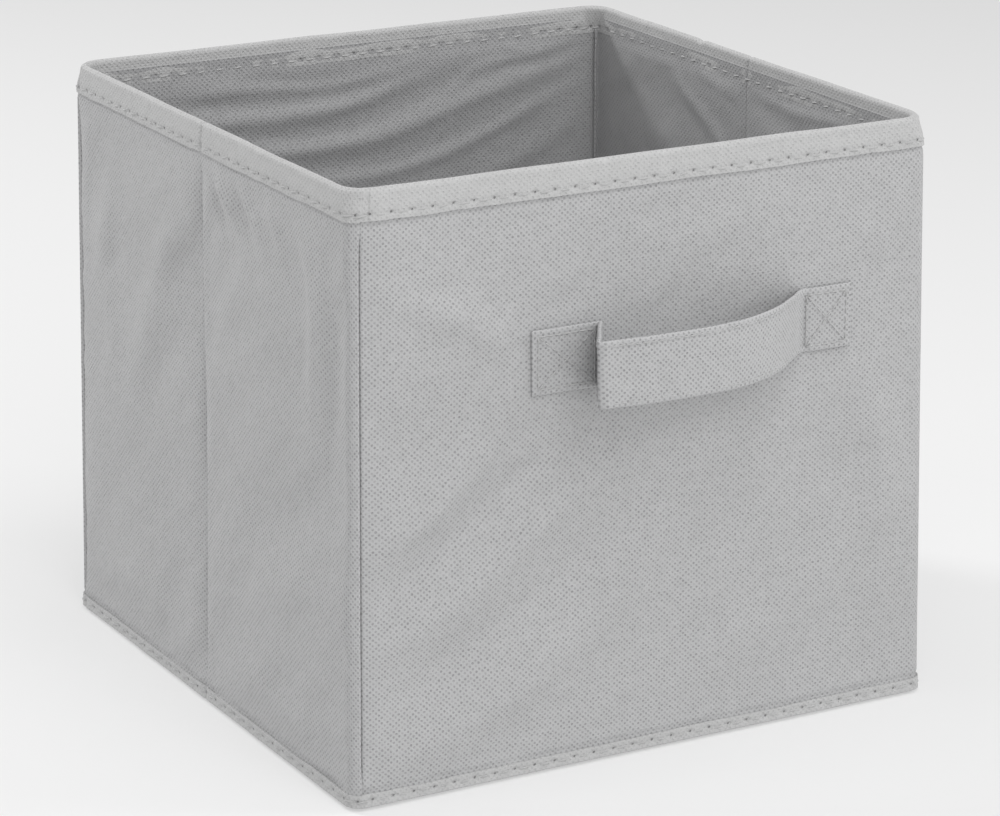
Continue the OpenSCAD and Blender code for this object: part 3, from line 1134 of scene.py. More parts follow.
@dataclass
class LiningRelief:
    """How the slack lining hangs inside its board."""

    crinkle: float = 0.10
    least: float = 0.15
    most: float = 2.9
    broad: Clouds = field(default_factory=lambda: Clouds(37))
    fine: Clouds = field(default_factory=lambda: Clouds(41))

    def folds(self) -> dict[Wall, tuple[Fold, ...]]:
        """Lays out the wrinkles of the lining.

        Returns:
            Each wall's wrinkles.
        """
        return {
            Wall.BACK: wrinkles(
                Wall.BACK,
                (1.5, 4.6, -0.2, (-132, 240), (-90, 241), (-30, 241), (4, 244), (34, 254),
                 (56, 262)),
                (-1.1, 3.2, 0.0, (-134, 252), (-90, 251), (-40, 248), (6, 250), (40, 257)),
                (-0.8, 2.4, 0.0, (-84, 264), (-50, 262), (-20, 258), (8, 262), (20, 266)),
                (0.7, 2.6, 0.0, (-100, 258), (-50, 256), (-10, 254), (26, 259), (44, 265)),
                (-1.5, 4.0, 0.2, (-70, 231), (-24, 231), (8, 235), (34, 243), (60, 251),
                 (78, 258)),
                (1.6, 4.8, -0.2, (-96, 224), (-50, 223), (0, 223), (36, 229), (66, 238),
                 (96, 245), (132, 254)),
                (-1.3, 4.4, 0.2, (-50, 213), (0, 212), (44, 217), (82, 229), (112, 239),
                 (140, 248)),
                (1.2, 4.4, -0.2, (-40, 204), (20, 206), (60, 214), (92, 226), (120, 238),
                 (138, 246)),
                (0.9, 3.0, 0.0, (46, 240), (60, 246), (70, 254), (90, 257), (132, 262)),
                (0.8, 1.6, 0.0, (84, 268), (90, 264), (98, 261)),
                (-0.8, 2.6, 0.0, (80, 254), (108, 254), (140, 262)),
                (1.0, 6.0, 0.0, (-40, 190), (40, 188), (100, 206), (138, 222)),
                (1.0, 8.0, 0.0, (-120, 160), (-40, 150), (60, 164), (130, 190)),
                (0.9, 9.0, 0.0, (-120, 110), (-20, 98), (90, 118)),
                (0.8, 10.0, 0.0, (-100, 60), (0, 46), (110, 66)),
            ),
            Wall.RIGHT: wrinkles(
                Wall.RIGHT,
                (1.2, 5.0, 0.2, (74, 266), (60, 254), (40, 244), (20, 232), (6, 214)),
                (-0.8, 3.4, 0.0, (60, 248), (44, 238), (26, 222)),
                (0.6, 2.6, 0.0, (50, 266), (20, 260), (4, 258)),
                (0.9, 2.4, 0.0, (-6, 264), (-30, 261), (-64, 262), (-96, 266)),
                (-0.9, 3.4, 0.0, (-8, 259), (-34, 254), (-64, 250), (-100, 252)),
                (0.7, 5.0, 0.0, (-10, 250), (-40, 240), (-80, 238)),
                (0.8, 12.0, 0.0, (110, 240), (96, 190), (100, 120)),
                (0.9, 9.0, 0.0, (40, 180), (70, 140), (120, 128)),
                (0.9, 9.0, 0.0, (-20, 180), (-60, 150), (-120, 150)),
                (0.8, 9.0, 0.0, (-30, 90), (-70, 64), (-124, 70)),
                (0.8, 9.0, 0.0, (30, 90), (70, 60), (124, 74)),
            ),
            Wall.FRONT: wrinkles(
                Wall.FRONT,
                (1.3, 6.0, 0.0, (-120, 250), (-60, 232), (0, 228), (70, 238), (130, 256)),
                (-1.0, 6.0, 0.0, (-124, 220), (-50, 200), (40, 204), (120, 224)),
                (1.1, 8.0, 0.0, (-110, 170), (-20, 150), (90, 168)),
                (1.0, 10.0, 0.0, (-100, 90), (0, 70), (100, 92)),
            ),
            Wall.LEFT: wrinkles(
                Wall.LEFT,
                (1.1, 5.0, 0.0, (-12, 262), (-40, 244), (-100, 238)),
                (1.1, 5.0, 0.0, (14, 262), (48, 240), (110, 246)),
                (1.0, 8.0, 0.0, (-20, 200), (-66, 176), (-124, 190)),
                (1.0, 8.0, 0.0, (20, 200), (70, 170), (126, 184)),
                (0.8, 9.0, 0.0, (-26, 110), (-70, 84), (-124, 96)),
                (0.8, 9.0, 0.0, (26, 110), (70, 86), (124, 98)),
            ),
        }

    def height(self, wall: Wall, run: Grid, up: Grid) -> Grid:
        """How far the lining stands in from its board.

        Args:
            wall: which side.
            run: perimeter run.
            up: height above the floor.

        Returns:
            The distance in millimetres.
        """
        lift = (0.7 + 0.5 * self.broad(run, up, 24.0, 2.6, -22.0)
                + 0.3 * self.broad(run + 300, up, 11.0, 2.4, -30.0))
        lift = lift + self.crinkle * self.fine(run, up, 5.0, 1.6, 20.0)
        for fold in self.folds()[wall]:
            lift = lift + fold.height(run, up)
        pressed = self.least * np.exp(np.minimum(lift, self.least) - self.least)
        lift = np.minimum(np.where(lift < self.least, pressed, lift), self.most)
        seam = np.abs(from_line(run, CORNERS))
        lift = lift * smooth(seam, 8.0, 22.0)
        if wall in (Wall.LEFT, Wall.RIGHT):
            crease = np.abs(from_line(run, CREASES))
            lift = lift * smooth(crease, 0.5, 7.0)
        return lift * (1.0 - 0.75 * smooth(up, 262.0, 268.0)) * (0.3 + 0.7 * smooth(up, 8.0, 24.0))


@dataclass
class Layers:
    """Thickness of a wall's cloths, how deep the lining lies, and where both end."""

    cover: float = 0.5
    lining: float = 0.4
    lining_depth: float = 3.1
    low: float = 5.2
    high: float = 274.0


@dataclass
class Walls:
    """The cover and lining of the six panels, and the strips between them."""

    outline: Outline
    fabric: bpy.types.Material
    # The lining's felt is the cover's in a darker tone: painted shade for the bin's inside.
    lining_fabric: bpy.types.Material
    layers: Layers = field(default_factory=Layers)
    cover_relief: CoverRelief = field(default_factory=CoverRelief)
    lining_relief: LiningRelief = field(default_factory=LiningRelief)
    step: float = 2.2
    middle: float = 140.0
    wall_line: float = 142.5
    least_sheet: float = 10.1

    def _cover_faces(self, wall: Wall, run: Grid, up: Grid) -> tuple[Grid, Grid, Grid]:
        """Both faces and the cut of a stretch of cover.

        Args:
            wall: which side.
            run: the perimeter runs of its vertices.
            up: their heights.

        Returns:
            Outer points, inner points and flat coordinates.
        """
        s, z = np.meshgrid(run, up, indexing="ij")
        thick = self.layers.cover
        depth = thick - self.cover_relief.height(wall, s, z)
        lean = self.outline.lean(z)
        return (self.outline.place(s, z, depth, lean),
                self.outline.place(s, z, depth + thick, lean), np.stack([s, z], -1) * MM)

    def _lining_faces(self, wall: Wall, run: Grid, up: Grid) -> tuple[Grid, Grid, Grid]:
        """Both faces and the cut of a stretch of lining.

        Args:
            wall: which side.
            run: the perimeter runs of its vertices.
            up: their heights.

        Returns:
            Outer points, inner points and flat coordinates.
        """
        s, z = np.meshgrid(run, up, indexing="ij")
        depth = self.layers.lining_depth + self.lining_relief.height(wall, s, z)
        return (self.outline.place(s, z, depth - self.layers.lining),
                self.outline.place(s, z, depth), np.stack([s, z], -1) * MM)

    def cover(self, panel: Panel) -> bpy.types.Object:
        """Builds one panel's cover.

        Args:
            panel: the panel.

        Returns:
            The piece.
        """
        near = close_to(panel.start, panel.end, (*SEAMS, *CREASES))
        run = stops(panel.start, panel.end, self.step, near, 0.4, 4.0)
        up = stops(self.layers.low, self.layers.high, self.step, SEWN_LINES, 0.7, 2.0)
        piece = closed_cloth(f"{panel.name}_cover_cloth",
                             *self._cover_faces(panel.wall, run, up), CLOTH_EDGE)
        dress(piece, self.fabric)
        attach(piece, panel.body)
        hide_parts(f"{panel.name}_cover")
        if panel.folds_away:
            panel.anchor(1.1)
            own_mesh(piece)
        (panel.end - panel.start) * MM
        return piece

    def lining(self, panel: Panel) -> bpy.types.Object:
        """Builds one panel's lining.

        Args:
            panel: the panel.

        Returns:
            The piece.
        """
        near = close_to(panel.start, panel.end, (*SEAMS, *CREASES))
        run = stops(panel.start, panel.end, self.step, near, 0.5, 3.0)
        up = stops(self.layers.low, self.layers.high, self.step)
        piece = closed_cloth(f"{panel.name}_lining_cloth",
                             *self._lining_faces(panel.wall, run, up), CLOTH_EDGE)
        dress(piece, self.lining_fabric)
        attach(piece, panel.body)
        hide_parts(f"{panel.name}_lining")
        panel.anchor(3.2)
        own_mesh(piece)
        (panel.end - panel.start) * MM
        return piece

    def cross(self, piece: bpy.types.Object, strip: Strip) -> None:
        """Bakes a strip piece's placement into its mesh.

        Args:
            piece: the strip's cover, lining, tape or thread.
            strip: the strip.
        """
        a, b = (self.outline.place(np.array(run), np.array(self.middle), np.array(3.0))
                for run in (strip.start, strip.end))
        if "crease" not in strip.name:
            on_side = b if strip.seam_at_start else a
            a, b = ((on_side[0],
                     spot[1] if spot is on_side else math.copysign(self.wall_line * MM, spot[1]),
                     self.middle * MM) for spot in (a, b))
        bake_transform(piece)

    def strip(self, strip: Strip) -> list[bpy.types.Object]:
        """Builds the cover and the lining of a strip between two panels.

        Args:
            strip: the strip.

        Returns:
            Both pieces.
        """
        wall = Wall.RIGHT if strip.start < 2 * SIDE else Wall.LEFT
        run = stops(strip.start, strip.end, 0.4)
        up = stops(self.layers.low, self.layers.high, self.step, SEWN_LINES, 0.7, 2.0)
        outer = closed_cloth(f"{strip.name}_cover_cloth", *self._cover_faces(wall, run, up),
                             CLOTH_EDGE)
        dress(outer, self.fabric)
        self.cross(outer, strip)
        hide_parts(strip.node)
        up = stops(self.layers.low, self.layers.high, 4.0)
        inner = closed_cloth(f"{strip.name}_lining_cloth", *self._lining_faces(wall, run, up),
                             CLOTH_EDGE)
        dress(inner, self.lining_fabric)
        self.cross(inner, strip)
        for piece, faces, held in ((outer, self._cover_faces, "stretched"),
                                   (inner, self._lining_faces, "hung")):
            line = faces(wall, run, np.array([self.middle]))[1][:, 0]
            width = float(np.linalg.norm(np.diff(line, axis=0), axis=1).sum())
            width >= self.least_sheet * MM
        return [outer, inner]

    def right_crease(self) -> bpy.types.Object:
        """Builds the narrow fold of cover that closes the right side's mid crease.

        Returns:
            The piece.
        """
        middle = SIDE + HALF
        run = np.linspace(middle - 1.2, middle + 1.2, 7)
        up = stops(self.layers.low, self.layers.high, 3.0)
        s, z = np.meshgrid(run, up, indexing="ij")
        thick = self.layers.cover
        depth = thick - self.cover_relief.height(Wall.RIGHT, s, z) + 0.45
        lean = self.outline.lean(z)
        piece = closed_cloth("right_crease_fold", self.outline.place(s, z, depth, lean),
                             self.outline.place(s, z, depth + thick, lean),
                             np.stack([s, z], -1) * MM, CLOTH_EDGE)
        dress(piece, self.fabric)
        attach(piece, "right_rear")
        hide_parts("right_crease_seam")
        return piece

    def fin(self, name: str, body: str, sign_x: float, sign_y: float) -> bpy.types.Object:
        """Builds the seam allowance that stands into the bin at a corner.

        Args:
            name: the corner.
            body: what it rides on.
            sign_x: which side of the middle it is on, along X.
            sign_y: the same, along Y.

        Returns:
            The piece.
        """
        clouds = Clouds(53)
        out, up = np.array([0.0, 1.0, 2.0, 2.7, 3.1]), stops(5.5, 268.0, 2.4)
        k, z = np.meshgrid(out, up, indexing="ij")
        thick = 0.55 * np.sqrt(np.clip(1.0 - (k / 3.15) ** 6, 0.05, 1.0))
        sway = 0.25 * clouds(z * 0 + k * 0.2, z, 14.0) * (k / 3.0)
        base = HALF - 3.9 - k * 0.72
        def face(side: float) -> Grid:
            """One face of the fin."""
            shift = (sway + side * thick) * DIAGONAL
            return np.stack([sign_x * (base - shift), sign_y * (base + shift), z], -1) * MM
        flip = sign_x * sign_y > 0
        first, second = (face(1.0), face(-1.0)) if flip else (face(-1.0), face(1.0))
        piece = closed_cloth(f"{name}_fin", first, second, np.stack([k, z], -1) * MM, CLOTH_EDGE)
        dress(piece, self.lining_fabric)
        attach(piece, body)
        return piece

    def build(self) -> None:
        """Builds every panel, strip and corner fin."""
        for panel in PANELS:
            for piece in (self.cover(panel), self.lining(panel)):
                LOG.info("built %s, %d faces", piece.name, len(piece.data.polygons))
        for strip in STRIPS:
            for piece in self.strip(strip):
                LOG.info("built %s", piece.name)
        LOG.info("built %s", self.right_crease().name)
        for body, sign_y in (("front", -1.0), ("back", 1.0)):
            for side, sign_x in (("left", -1.0), ("right", 1.0)):
                LOG.info("built %s", self.fin(f"{body}_{side}", body, sign_x, sign_y).name)


class Edge(Enum):
    """Which edge of a wall a tape is folded over."""

    RIM = "rim"
    HEM = "hem"


@dataclass
class Binding:
    """The tapes folded over the rim and the hem, with their stitches."""

    outline: Outline
    tape: bpy.types.Material
    thread: bpy.types.Material
    stitcher: StitchMaker
    rim_low: float = 266.0
    hem_high: float = 7.4
    stitch_high: float = 269.0
    stitch_low: float = 4.6
    pitch: float = 9.9
    thick: float = 0.6
    puff: float = 0.16
    pinch: float = 0.42
    wall_thick: float = 3.2
    overlap: float = 9.4
    outer_sink: float = -0.12
    inner_sink: float = 0.10
    clouds: Clouds = field(default_factory=lambda: Clouds(61))

    def _profile(self, edge: Edge) -> tuple[Grid, Grid, Grid, Grid, Grid]:
        """Lays out the tape's section, from one leg over the fold to the other.

        Args:
            edge: rim or hem.

        Returns:
            Depth, height, the two parts of the direction into the cloth, and how far each
            point is on the outer leg.
        """
        r = self.wall_thick / 2
        if edge is Edge.RIM:
            leg = np.array([0.0, 0.4, 1.0, 1.7, 2.3, 2.8, 3.3, 3.9, 5.0, 6.5, 8.1, 9.7, 11.2])
            fold = np.linspace(180.0, 0.0, 9)
            top = HEIGHT - r
            depth = [*(0 * leg), *(r + r * np.cos(np.radians(fold))), *(0 * leg + 2 * r)]
            height = [*(self.rim_low + leg), *(top + r * np.sin(np.radians(fold))),
                      *(self.rim_low + leg[::-1])]
            into = [*(1.0 + 0 * leg), *(-np.cos(np.radians(fold))), *(-1.0 + 0 * leg)]
            into_up = [*(0 * leg), *(-np.sin(np.radians(fold))), *(0 * leg)]
            outside = [*(1.0 + 0 * leg), *np.linspace(1.0, 0.0, 9), *(0 * leg)]
        else:
            leg = np.array([0.0, 0.5, 1.2, 2.0, 2.7, 3.3, 4.0, 4.8, 5.3])
            fold = np.linspace(0.0, 180.0, 9)
            depth = [*(0 * leg + 2 * r), *(r + r * np.cos(np.radians(fold))), *(0 * leg)]
            height = [*(self.hem_high - leg), *(r - r * np.sin(np.radians(fold))),
                      *(self.hem_high - leg[::-1])]
            into = [*(-1.0 + 0 * leg), *(-np.cos(np.radians(fold))), *(1.0 + 0 * leg)]
            into_up = [*(0 * leg), *(np.sin(np.radians(fold))), *(0 * leg)]
            outside = [*(0 * leg), *np.linspace(0.0, 1.0, 9), *(1.0 + 0 * leg)]
        return tuple(np.array(a, float) for a in (depth, height, into, into_up, outside))

    def _tape(self, name: str, start: float, end: float, edge: Edge) -> bpy.types.Object:
        """Sweeps the folded tape along a run of the wall.

        Args:
            name: the piece's name.
            start: first run.
            end: last run.
            edge: rim or hem.

        Returns:
            The tape.
        """
        rim = edge is Edge.RIM
        near = close_to(start, end, (*[corner + self.overlap for corner in CORNERS], *CREASES))
        run = stops(start, end, 0.7, near, 0.3, 2.0)
        depth, height, into, into_up, outside = self._profile(edge)
        s, k = np.meshgrid(run, np.arange(len(depth)), indexing="ij")
        d, z, e, g, o = depth[k], height[k], into[k], into_up[k], outside[k]
        if rim:
            middle = self.wall_thick / 2
            d = middle + (d - middle) * (1.0 - self.pinch * smooth(z, 269.0, 279.0))
        row = self.stitch_high - 0.3 if rim else self.stitch_low - 0.2
        from_edge = np.abs(z - (self.rim_low if rim else self.hem_high))
        straight = 1.0 - np.abs(g)
        beat = np.cos(2 * math.pi * s / self.pitch) * 0.5 + 0.5
        pull = np.exp(-((z - row) / 1.5) ** 2) * (0.35 + 0.65 * beat)
        free = smooth(from_edge, 0.0, 1.6)
        rise = self.puff * (0.5 + free) - 0.40 * pull
        rise = rise + 0.12 * self.clouds(s, z + 40 * o, 9.0, 1.5)
        crease = from_line(s, CREASES)
        nick = np.exp(-(crease / 1.1) ** 2)
        past = from_line(s, CORNERS)
        join = smooth(past, 9.2, 9.9) * smooth(60.0 - past, 0.0, 50.0)
        joint_line = np.exp(-((past - 8.9) / 0.5) ** 2)
        rise = rise + 0.18 * join * (o > 0.5) - 0.30 * joint_line * (o > 0.5)
        rise = rise - 0.7 * nick * straight
        d = d - e * rise * straight
        wave = 0.35 * self.clouds(s, z * 0 + 9 + 30 * o, 16.0)
        wave = wave + 0.16 * self.clouds(s + 90, z * 0, 5.0)
        toward = 1.0 - smooth(from_edge, 0.0, 6.0)
        if rim:
            top = smooth(z, 276.0, 280.0)
            z = z + wave * toward - nick * top + 0.25 * self.clouds(s, z * 0 + 3, 34.0) * top
            z = z - 0.9 * np.exp(-((s - Wall.RIGHT.run(44.0)) / 2.2) ** 2) * top
        else:
            z = z + wave * toward
        lean = self.outline.lean(z) * o
        first = self.outline.place(s, z, d, lean)
        second = self.outline.place(s, z + g * self.thick, d + e * self.thick, lean)
        first[..., 2] = np.maximum(first[..., 2], 0.0)
        second[..., 2] = np.maximum(second[..., 2], 0.0004)
        steps = np.concatenate([[0.0], np.cumsum(np.hypot(np.diff(depth), np.diff(height)))])
        over = self.rim_low + steps if rim else HEM_CUT + self.hem_high - steps[::-1]
        cut = np.stack([s, over[k]], -1) * MM
        piece = closed_cloth(name, first, second, cut, 70.0)
        return dress(piece, self.tape)

    def _stitches(self, name: str, start: float, end: float, edge: Edge, seed: int,
                  skip: float = 0.0) -> bpy.types.Object | None:
        """Lays the stitches of a run, on the outer face and on the rim's inner face too.

        Args:
            name: the piece's name.
            start: first run.
            end: last run.
            edge: rim or hem.
            seed: which small differences.
            skip: how far the stitches keep from both ends.

        Returns:
            The row, or None where the run is too short for a stitch.
        """
        rim = edge is Edge.RIM
        first = math.ceil((start + skip) / self.pitch - 0.5)
        last = math.floor((end - skip) / self.pitch - 0.5)
        if last < first:
            return None
        run = (np.arange(first, last + 1) + 0.5) * self.pitch
        row = self.stitch_high if rim else self.stitch_low
        centres, ahead, lift = [], [], []
        for inner in ((False, True) if rim else (False,)):
            depth = self.wall_thick + self.inner_sink if inner else self.outer_sink
            lean = 0.0 if inner else self.outline.lean(np.array(row))
            z = np.full(run.shape, row - (0.35 if rim else 0.2))
            z = z + 0.25 * self.clouds(run, z * 0 + 77, 12.0)
            centre = self.outline.place(run, z, depth, lean)
            step = (self.outline.place(run + 0.5, z, depth, lean)
                    - self.outline.place(run - 0.5, z, depth, lean))
            step /= np.linalg.norm(step, axis=-1, keepdims=True)
            out = np.cross(step, np.array([0.0, 0.0, 1.0]))
            centres.append(centre)
            ahead.append(step)
            lift.append(-out if inner else out)
        parts = (np.concatenate(part) for part in (centres, ahead, lift))
        piece = self.stitcher.row(name, *parts, seed)
        return dress(piece, self.thread)

    def panel(self, panel: Panel, seed: int) -> list[bpy.types.Object]:
        """Builds one panel's rim and hem.

        Args:
            panel: the panel.
            seed: which small differences its stitches have.

        Returns:
            Its tapes and rows of stitches.
        """
        made = []
        for edge in Edge:
            rim = edge is Edge.RIM
            name = f"{panel.name}_{edge.value}"
            tape = self._tape(f"{name}_tape", panel.start, panel.end, edge)
            row = self._stitches(f"{name}_thread", panel.start, panel.end, edge, seed + rim)
            for piece, node in ((tape, f"{name}_binding"), (row, f"{name}_stitching")):
                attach(piece, panel.body)
                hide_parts(node)
                if rim and panel.folds_away:
                    panel.anchor(self.wall_thick)
                    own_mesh(piece)
                if not rim and panel.body != "back":
                    spot = panel.anchor(1.1)
                    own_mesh(piece)
                made.append(piece)
            (panel.end - panel.start) * MM
        return made

    def strip(self, strip: Strip, cross: Callable[[bpy.types.Object, Strip], None],
              seed: int) -> list[bpy.types.Object]:
        """Builds the rim and hem over a strip.

        Args:
            strip: the strip.
            cross: what each tape and row of stitches is passed to; it bakes their placement into
                their meshes.
            seed: which small differences its stitches have.

        Returns:
            Its tapes and rows of stitches.
        """
        made = []
        for edge in Edge:
            name = f"{strip.name}_{edge.value}"
            tape = self._tape(f"{name}_tape", strip.start, strip.end, edge)
            row = self._stitches(f"{name}_thread", strip.start, strip.end, edge,
                                 seed + (edge is Edge.RIM), 0.4)
            for piece in (tape, row):
                if piece is not None:
                    cross(piece, strip)
                    made.append(piece)
        return made


@dataclass
class Handle:
    """The strap handle: a folded strap sewn down at both ends and bowed out between."""

    outline: Outline
    fabric: bpy.types.Material
    thread: bpy.types.Material
    stitcher: StitchMaker
    fine_stitcher: StitchMaker
    middle: float = 192.5
    left: float = -61.0
    right: float = 106.0
    loop_left: float = -26.0
    loop_right: float = 79.0
    width: float = 30.0
    thick: float = 1.6
    bow: float = 32.0
    sew_inset: float = 3.0
    sew_pitch: float = 4.2
    slant: float = 0.585
    corner: float = 0.86
    droop: float = 1.2
    fall: float = 0.6

    def _guides(self) -> list[tuple[float, float]]:
        """Lays out the plan of the strap's middle line: a steep left end and a long fall.

        Returns:
            Points of the line, as x and how far out of the wall.
        """
        l, r, b, m = self.loop_left, self.loop_right, self.bow, self.thick / 2
        span = r - l
        ends = [(self.left, m), ((self.left + l) / 2 - 4, m), (l - 6, m)]
        top = self.corner * b
        tip = l - self.slant * top
        rise = [(l - self.slant * share * b, share * b) for share in (0.12, 0.5, 0.8)]
        turn = [(tip, top), (tip + 1.6, top + 1.5), (tip + 6.0, 0.93 * b)]
        fall = [(l + along * span, out * b) for along, out in (
            (0.06, 0.985), (0.27, 1.0), (0.52, 0.93), (0.74, 0.66), (0.90, 0.28))]
        return [*ends, (l - 0.3, m + 0.2), *rise, *turn, *fall,
                (r, m), (r + 6, m), (self.right - 8, m), (self.right, m)]

    def _line(self) -> tuple[Grid, Grid, Grid]:
        """Follows the strap's middle line in even steps.

        Returns:
            Its points, its outward directions and its length so far.
        """
        path = np.array(bent(self._guides(), 16))
        gap = np.hypot(*np.diff(path, axis=0).T)
        far = np.concatenate([[0.0], np.cumsum(gap)])
        even = np.arange(0.0, far[-1] + 1e-6, 0.9)
        path = np.stack([np.interp(even, far, path[:, 0]), np.interp(even, far, path[:, 1])], -1)
        way = np.gradient(path, axis=0)
        way /= np.linalg.norm(way, axis=1, keepdims=True)
        return path, np.stack([-way[:, 1], way[:, 0]], -1), even

    def _point(self, x: Grid, out: Grid, z: Grid) -> Grid:
        """Places points off the front wall.

        Args:
            x: place along the wall.
            out: how far out of it.
            z: height above the floor.

        Returns:
            The points, in metres.
        """
        face = HALF + self.outline.lean(np.full(np.shape(z), self.middle)) - 0.45
        return np.stack(np.broadcast_arrays(x, -(face + out), z), -1) * MM

    def strap(self) -> bpy.types.Object:
        """Builds the strap.

        Returns:
            The strap.
        """
        path, out, far = self._line()
        half = self.width / 2
        across = np.array([0.0, 0.12, 0.4, 0.8, 1.5, 2.2, 3.2, 4.2])
        q = np.concatenate([-half + across, np.linspace(-half + 6.0, half - 6.0, 12),
                            half - across[::-1]])
        i, j = np.meshgrid(np.arange(len(path)), q, indexing="ij")
        clouds = Clouds(71)
        edge = half - np.abs(j)
        round_off = 1.0 - (1.0 - np.clip(edge / 0.9, 0, 1)) ** 2
        thick = self.thick / 2 * np.sqrt(np.clip(round_off, 0.03, 1.0))
        thick = thick + 0.12 * np.exp(-((edge - 1.6) / 1.2) ** 2)
        thick = thick - 0.10 * np.exp(-((edge - self.sew_inset) / 0.6) ** 2)
        sag = self.droop * smooth(path[i, 1], 4.0, self.bow) * (j / half)
        lift = 0.22 * clouds(far[i], j, 9.0, 1.2) * smooth(path[i, 1], 0.5, 4.0)
        x, y = path[i, 0], path[i, 1]
        nx, ny = out[i, 0], out[i, 1]
        z = self.middle + j - self.fall * smooth(y, 4.0, self.bow)
        ends = 0.10 * clouds(far[i], j + 50, 12.0)
        outer = self._point(x + nx * (thick + lift), y + ny * (thick + lift) - sag, z + ends)
        inner = self._point(x - nx * (thick - lift), y - ny * (thick - lift) - sag, z + ends)
        cut = np.stack([far[i], j + half], -1) * MM
        piece = closed_cloth("handle_strap_cloth", outer, inner, cut, CLOTH_EDGE)
        dress(piece, self.fabric)
        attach(piece, "front")
        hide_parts("handle_strap")
        return piece

    def _sewn(self, name: str, lines: Sequence[Sequence[tuple[float, float]]],
              seed: int) -> bpy.types.Object:
        """Sews straight lines of stitches on a flat patch.

        Args:
            name: the piece's name.
            lines: the two ends of each line, as x and z.
            seed: which small differences.

        Returns:
            The stitches.
        """
        centres, ahead = [], []
        for (x0, z0), (x1, z1) in lines:
            reach = math.hypot(x1 - x0, z1 - z0)
            count = max(1, round(reach / self.sew_pitch))
            for k in range(count):
                t = (k + 0.5) / count
                centres.append((x0 + (x1 - x0) * t, z0 + (z1 - z0) * t))
                ahead.append(((x1 - x0) / reach, 0.0, (z1 - z0) / reach))
        spots = np.array(centres)
        points = self._point(spots[:, 0], np.full(len(spots), self.thick + 0.22), spots[:, 1])
        lift = np.tile([0.0, -1.0, 0.0], (len(spots), 1))
        piece = self.stitcher.row(name, points, np.array(ahead), lift, seed, 0.0)
        return dress(piece, self.thread)

    def _box(self, x0: float, x1: float) -> list[list[tuple[float, float]]]:
        """Lays out a box with a cross in it.

        Args:
            x0: its left side.
            x1: its right side.

        Returns:
            The two ends of each line.
        """
        low = self.middle - self.width / 2 + self.sew_inset
        high = self.middle + self.width / 2 - self.sew_inset
        corners = [(x0, low), (x1, low), (x1, high), (x0, high)]
        sides = [[a, b] for a, b in zip(corners, corners[1:] + corners[:1])]
        return [*sides, [corners[0], corners[2]], [corners[3], corners[1]]]

    def edges(self) -> bpy.types.Object:
        """Sews along both edges of the bowed part.

        Returns:
            The stitches.
        """
        path, out, far = self._line()
        half = self.width / 2
        start = far[np.argmax(path[:, 1] > 6.0)]
        end = far[len(path) - 1 - np.argmax(path[::-1, 1] > 3.0)]
        spots = np.arange(start, end, 3.9)
        row = []
        for q in (-half + 2.3, half - 2.3):
            x, y = np.interp(spots, far, path[:, 0]), np.interp(spots, far, path[:, 1])
            nx, ny = np.interp(spots, far, out[:, 0]), np.interp(spots, far, out[:, 1])
            z = self.middle + q - self.fall * smooth(y, 4.0, self.bow)
            sag = self.droop * smooth(y, 4.0, self.bow) * (q / half)
            t = self.thick / 2 + 0.16
            here = self._point(x + nx * t, y + ny * t - sag, z)
            way = np.stack([ny, nx, 0 * nx], -1)
            row.append((here, way, np.stack([nx, -ny, 0 * nx], -1)))
        parts = [np.concatenate(a) for a in zip(*row)]
        piece = self.fine_stitcher.row("handle_edge_thread", *parts, 83, 3.0)
        return dress(piece, self.thread)

    def build(self) -> None:
        """Builds the strap and its three groups of stitches."""
        LOG.info("built %s", self.strap().name)
        left_box = self._box(self.left + 3.0, self.loop_left - 3.5)
        right_box = self._box(self.loop_right + 2.5, self.right - 3.0)
        left = self._sewn("handle_left_thread", left_box, 81)
        right = self._sewn("handle_right_thread", right_box, 82)
        for piece, node in ((left, "handle_left_stitching"), (right, "handle_right_stitching"),
                            (self.edges(), "handle_edge_stitching")):
            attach(piece, "front")
            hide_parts(node)
            LOG.info("built %s", piece.name)


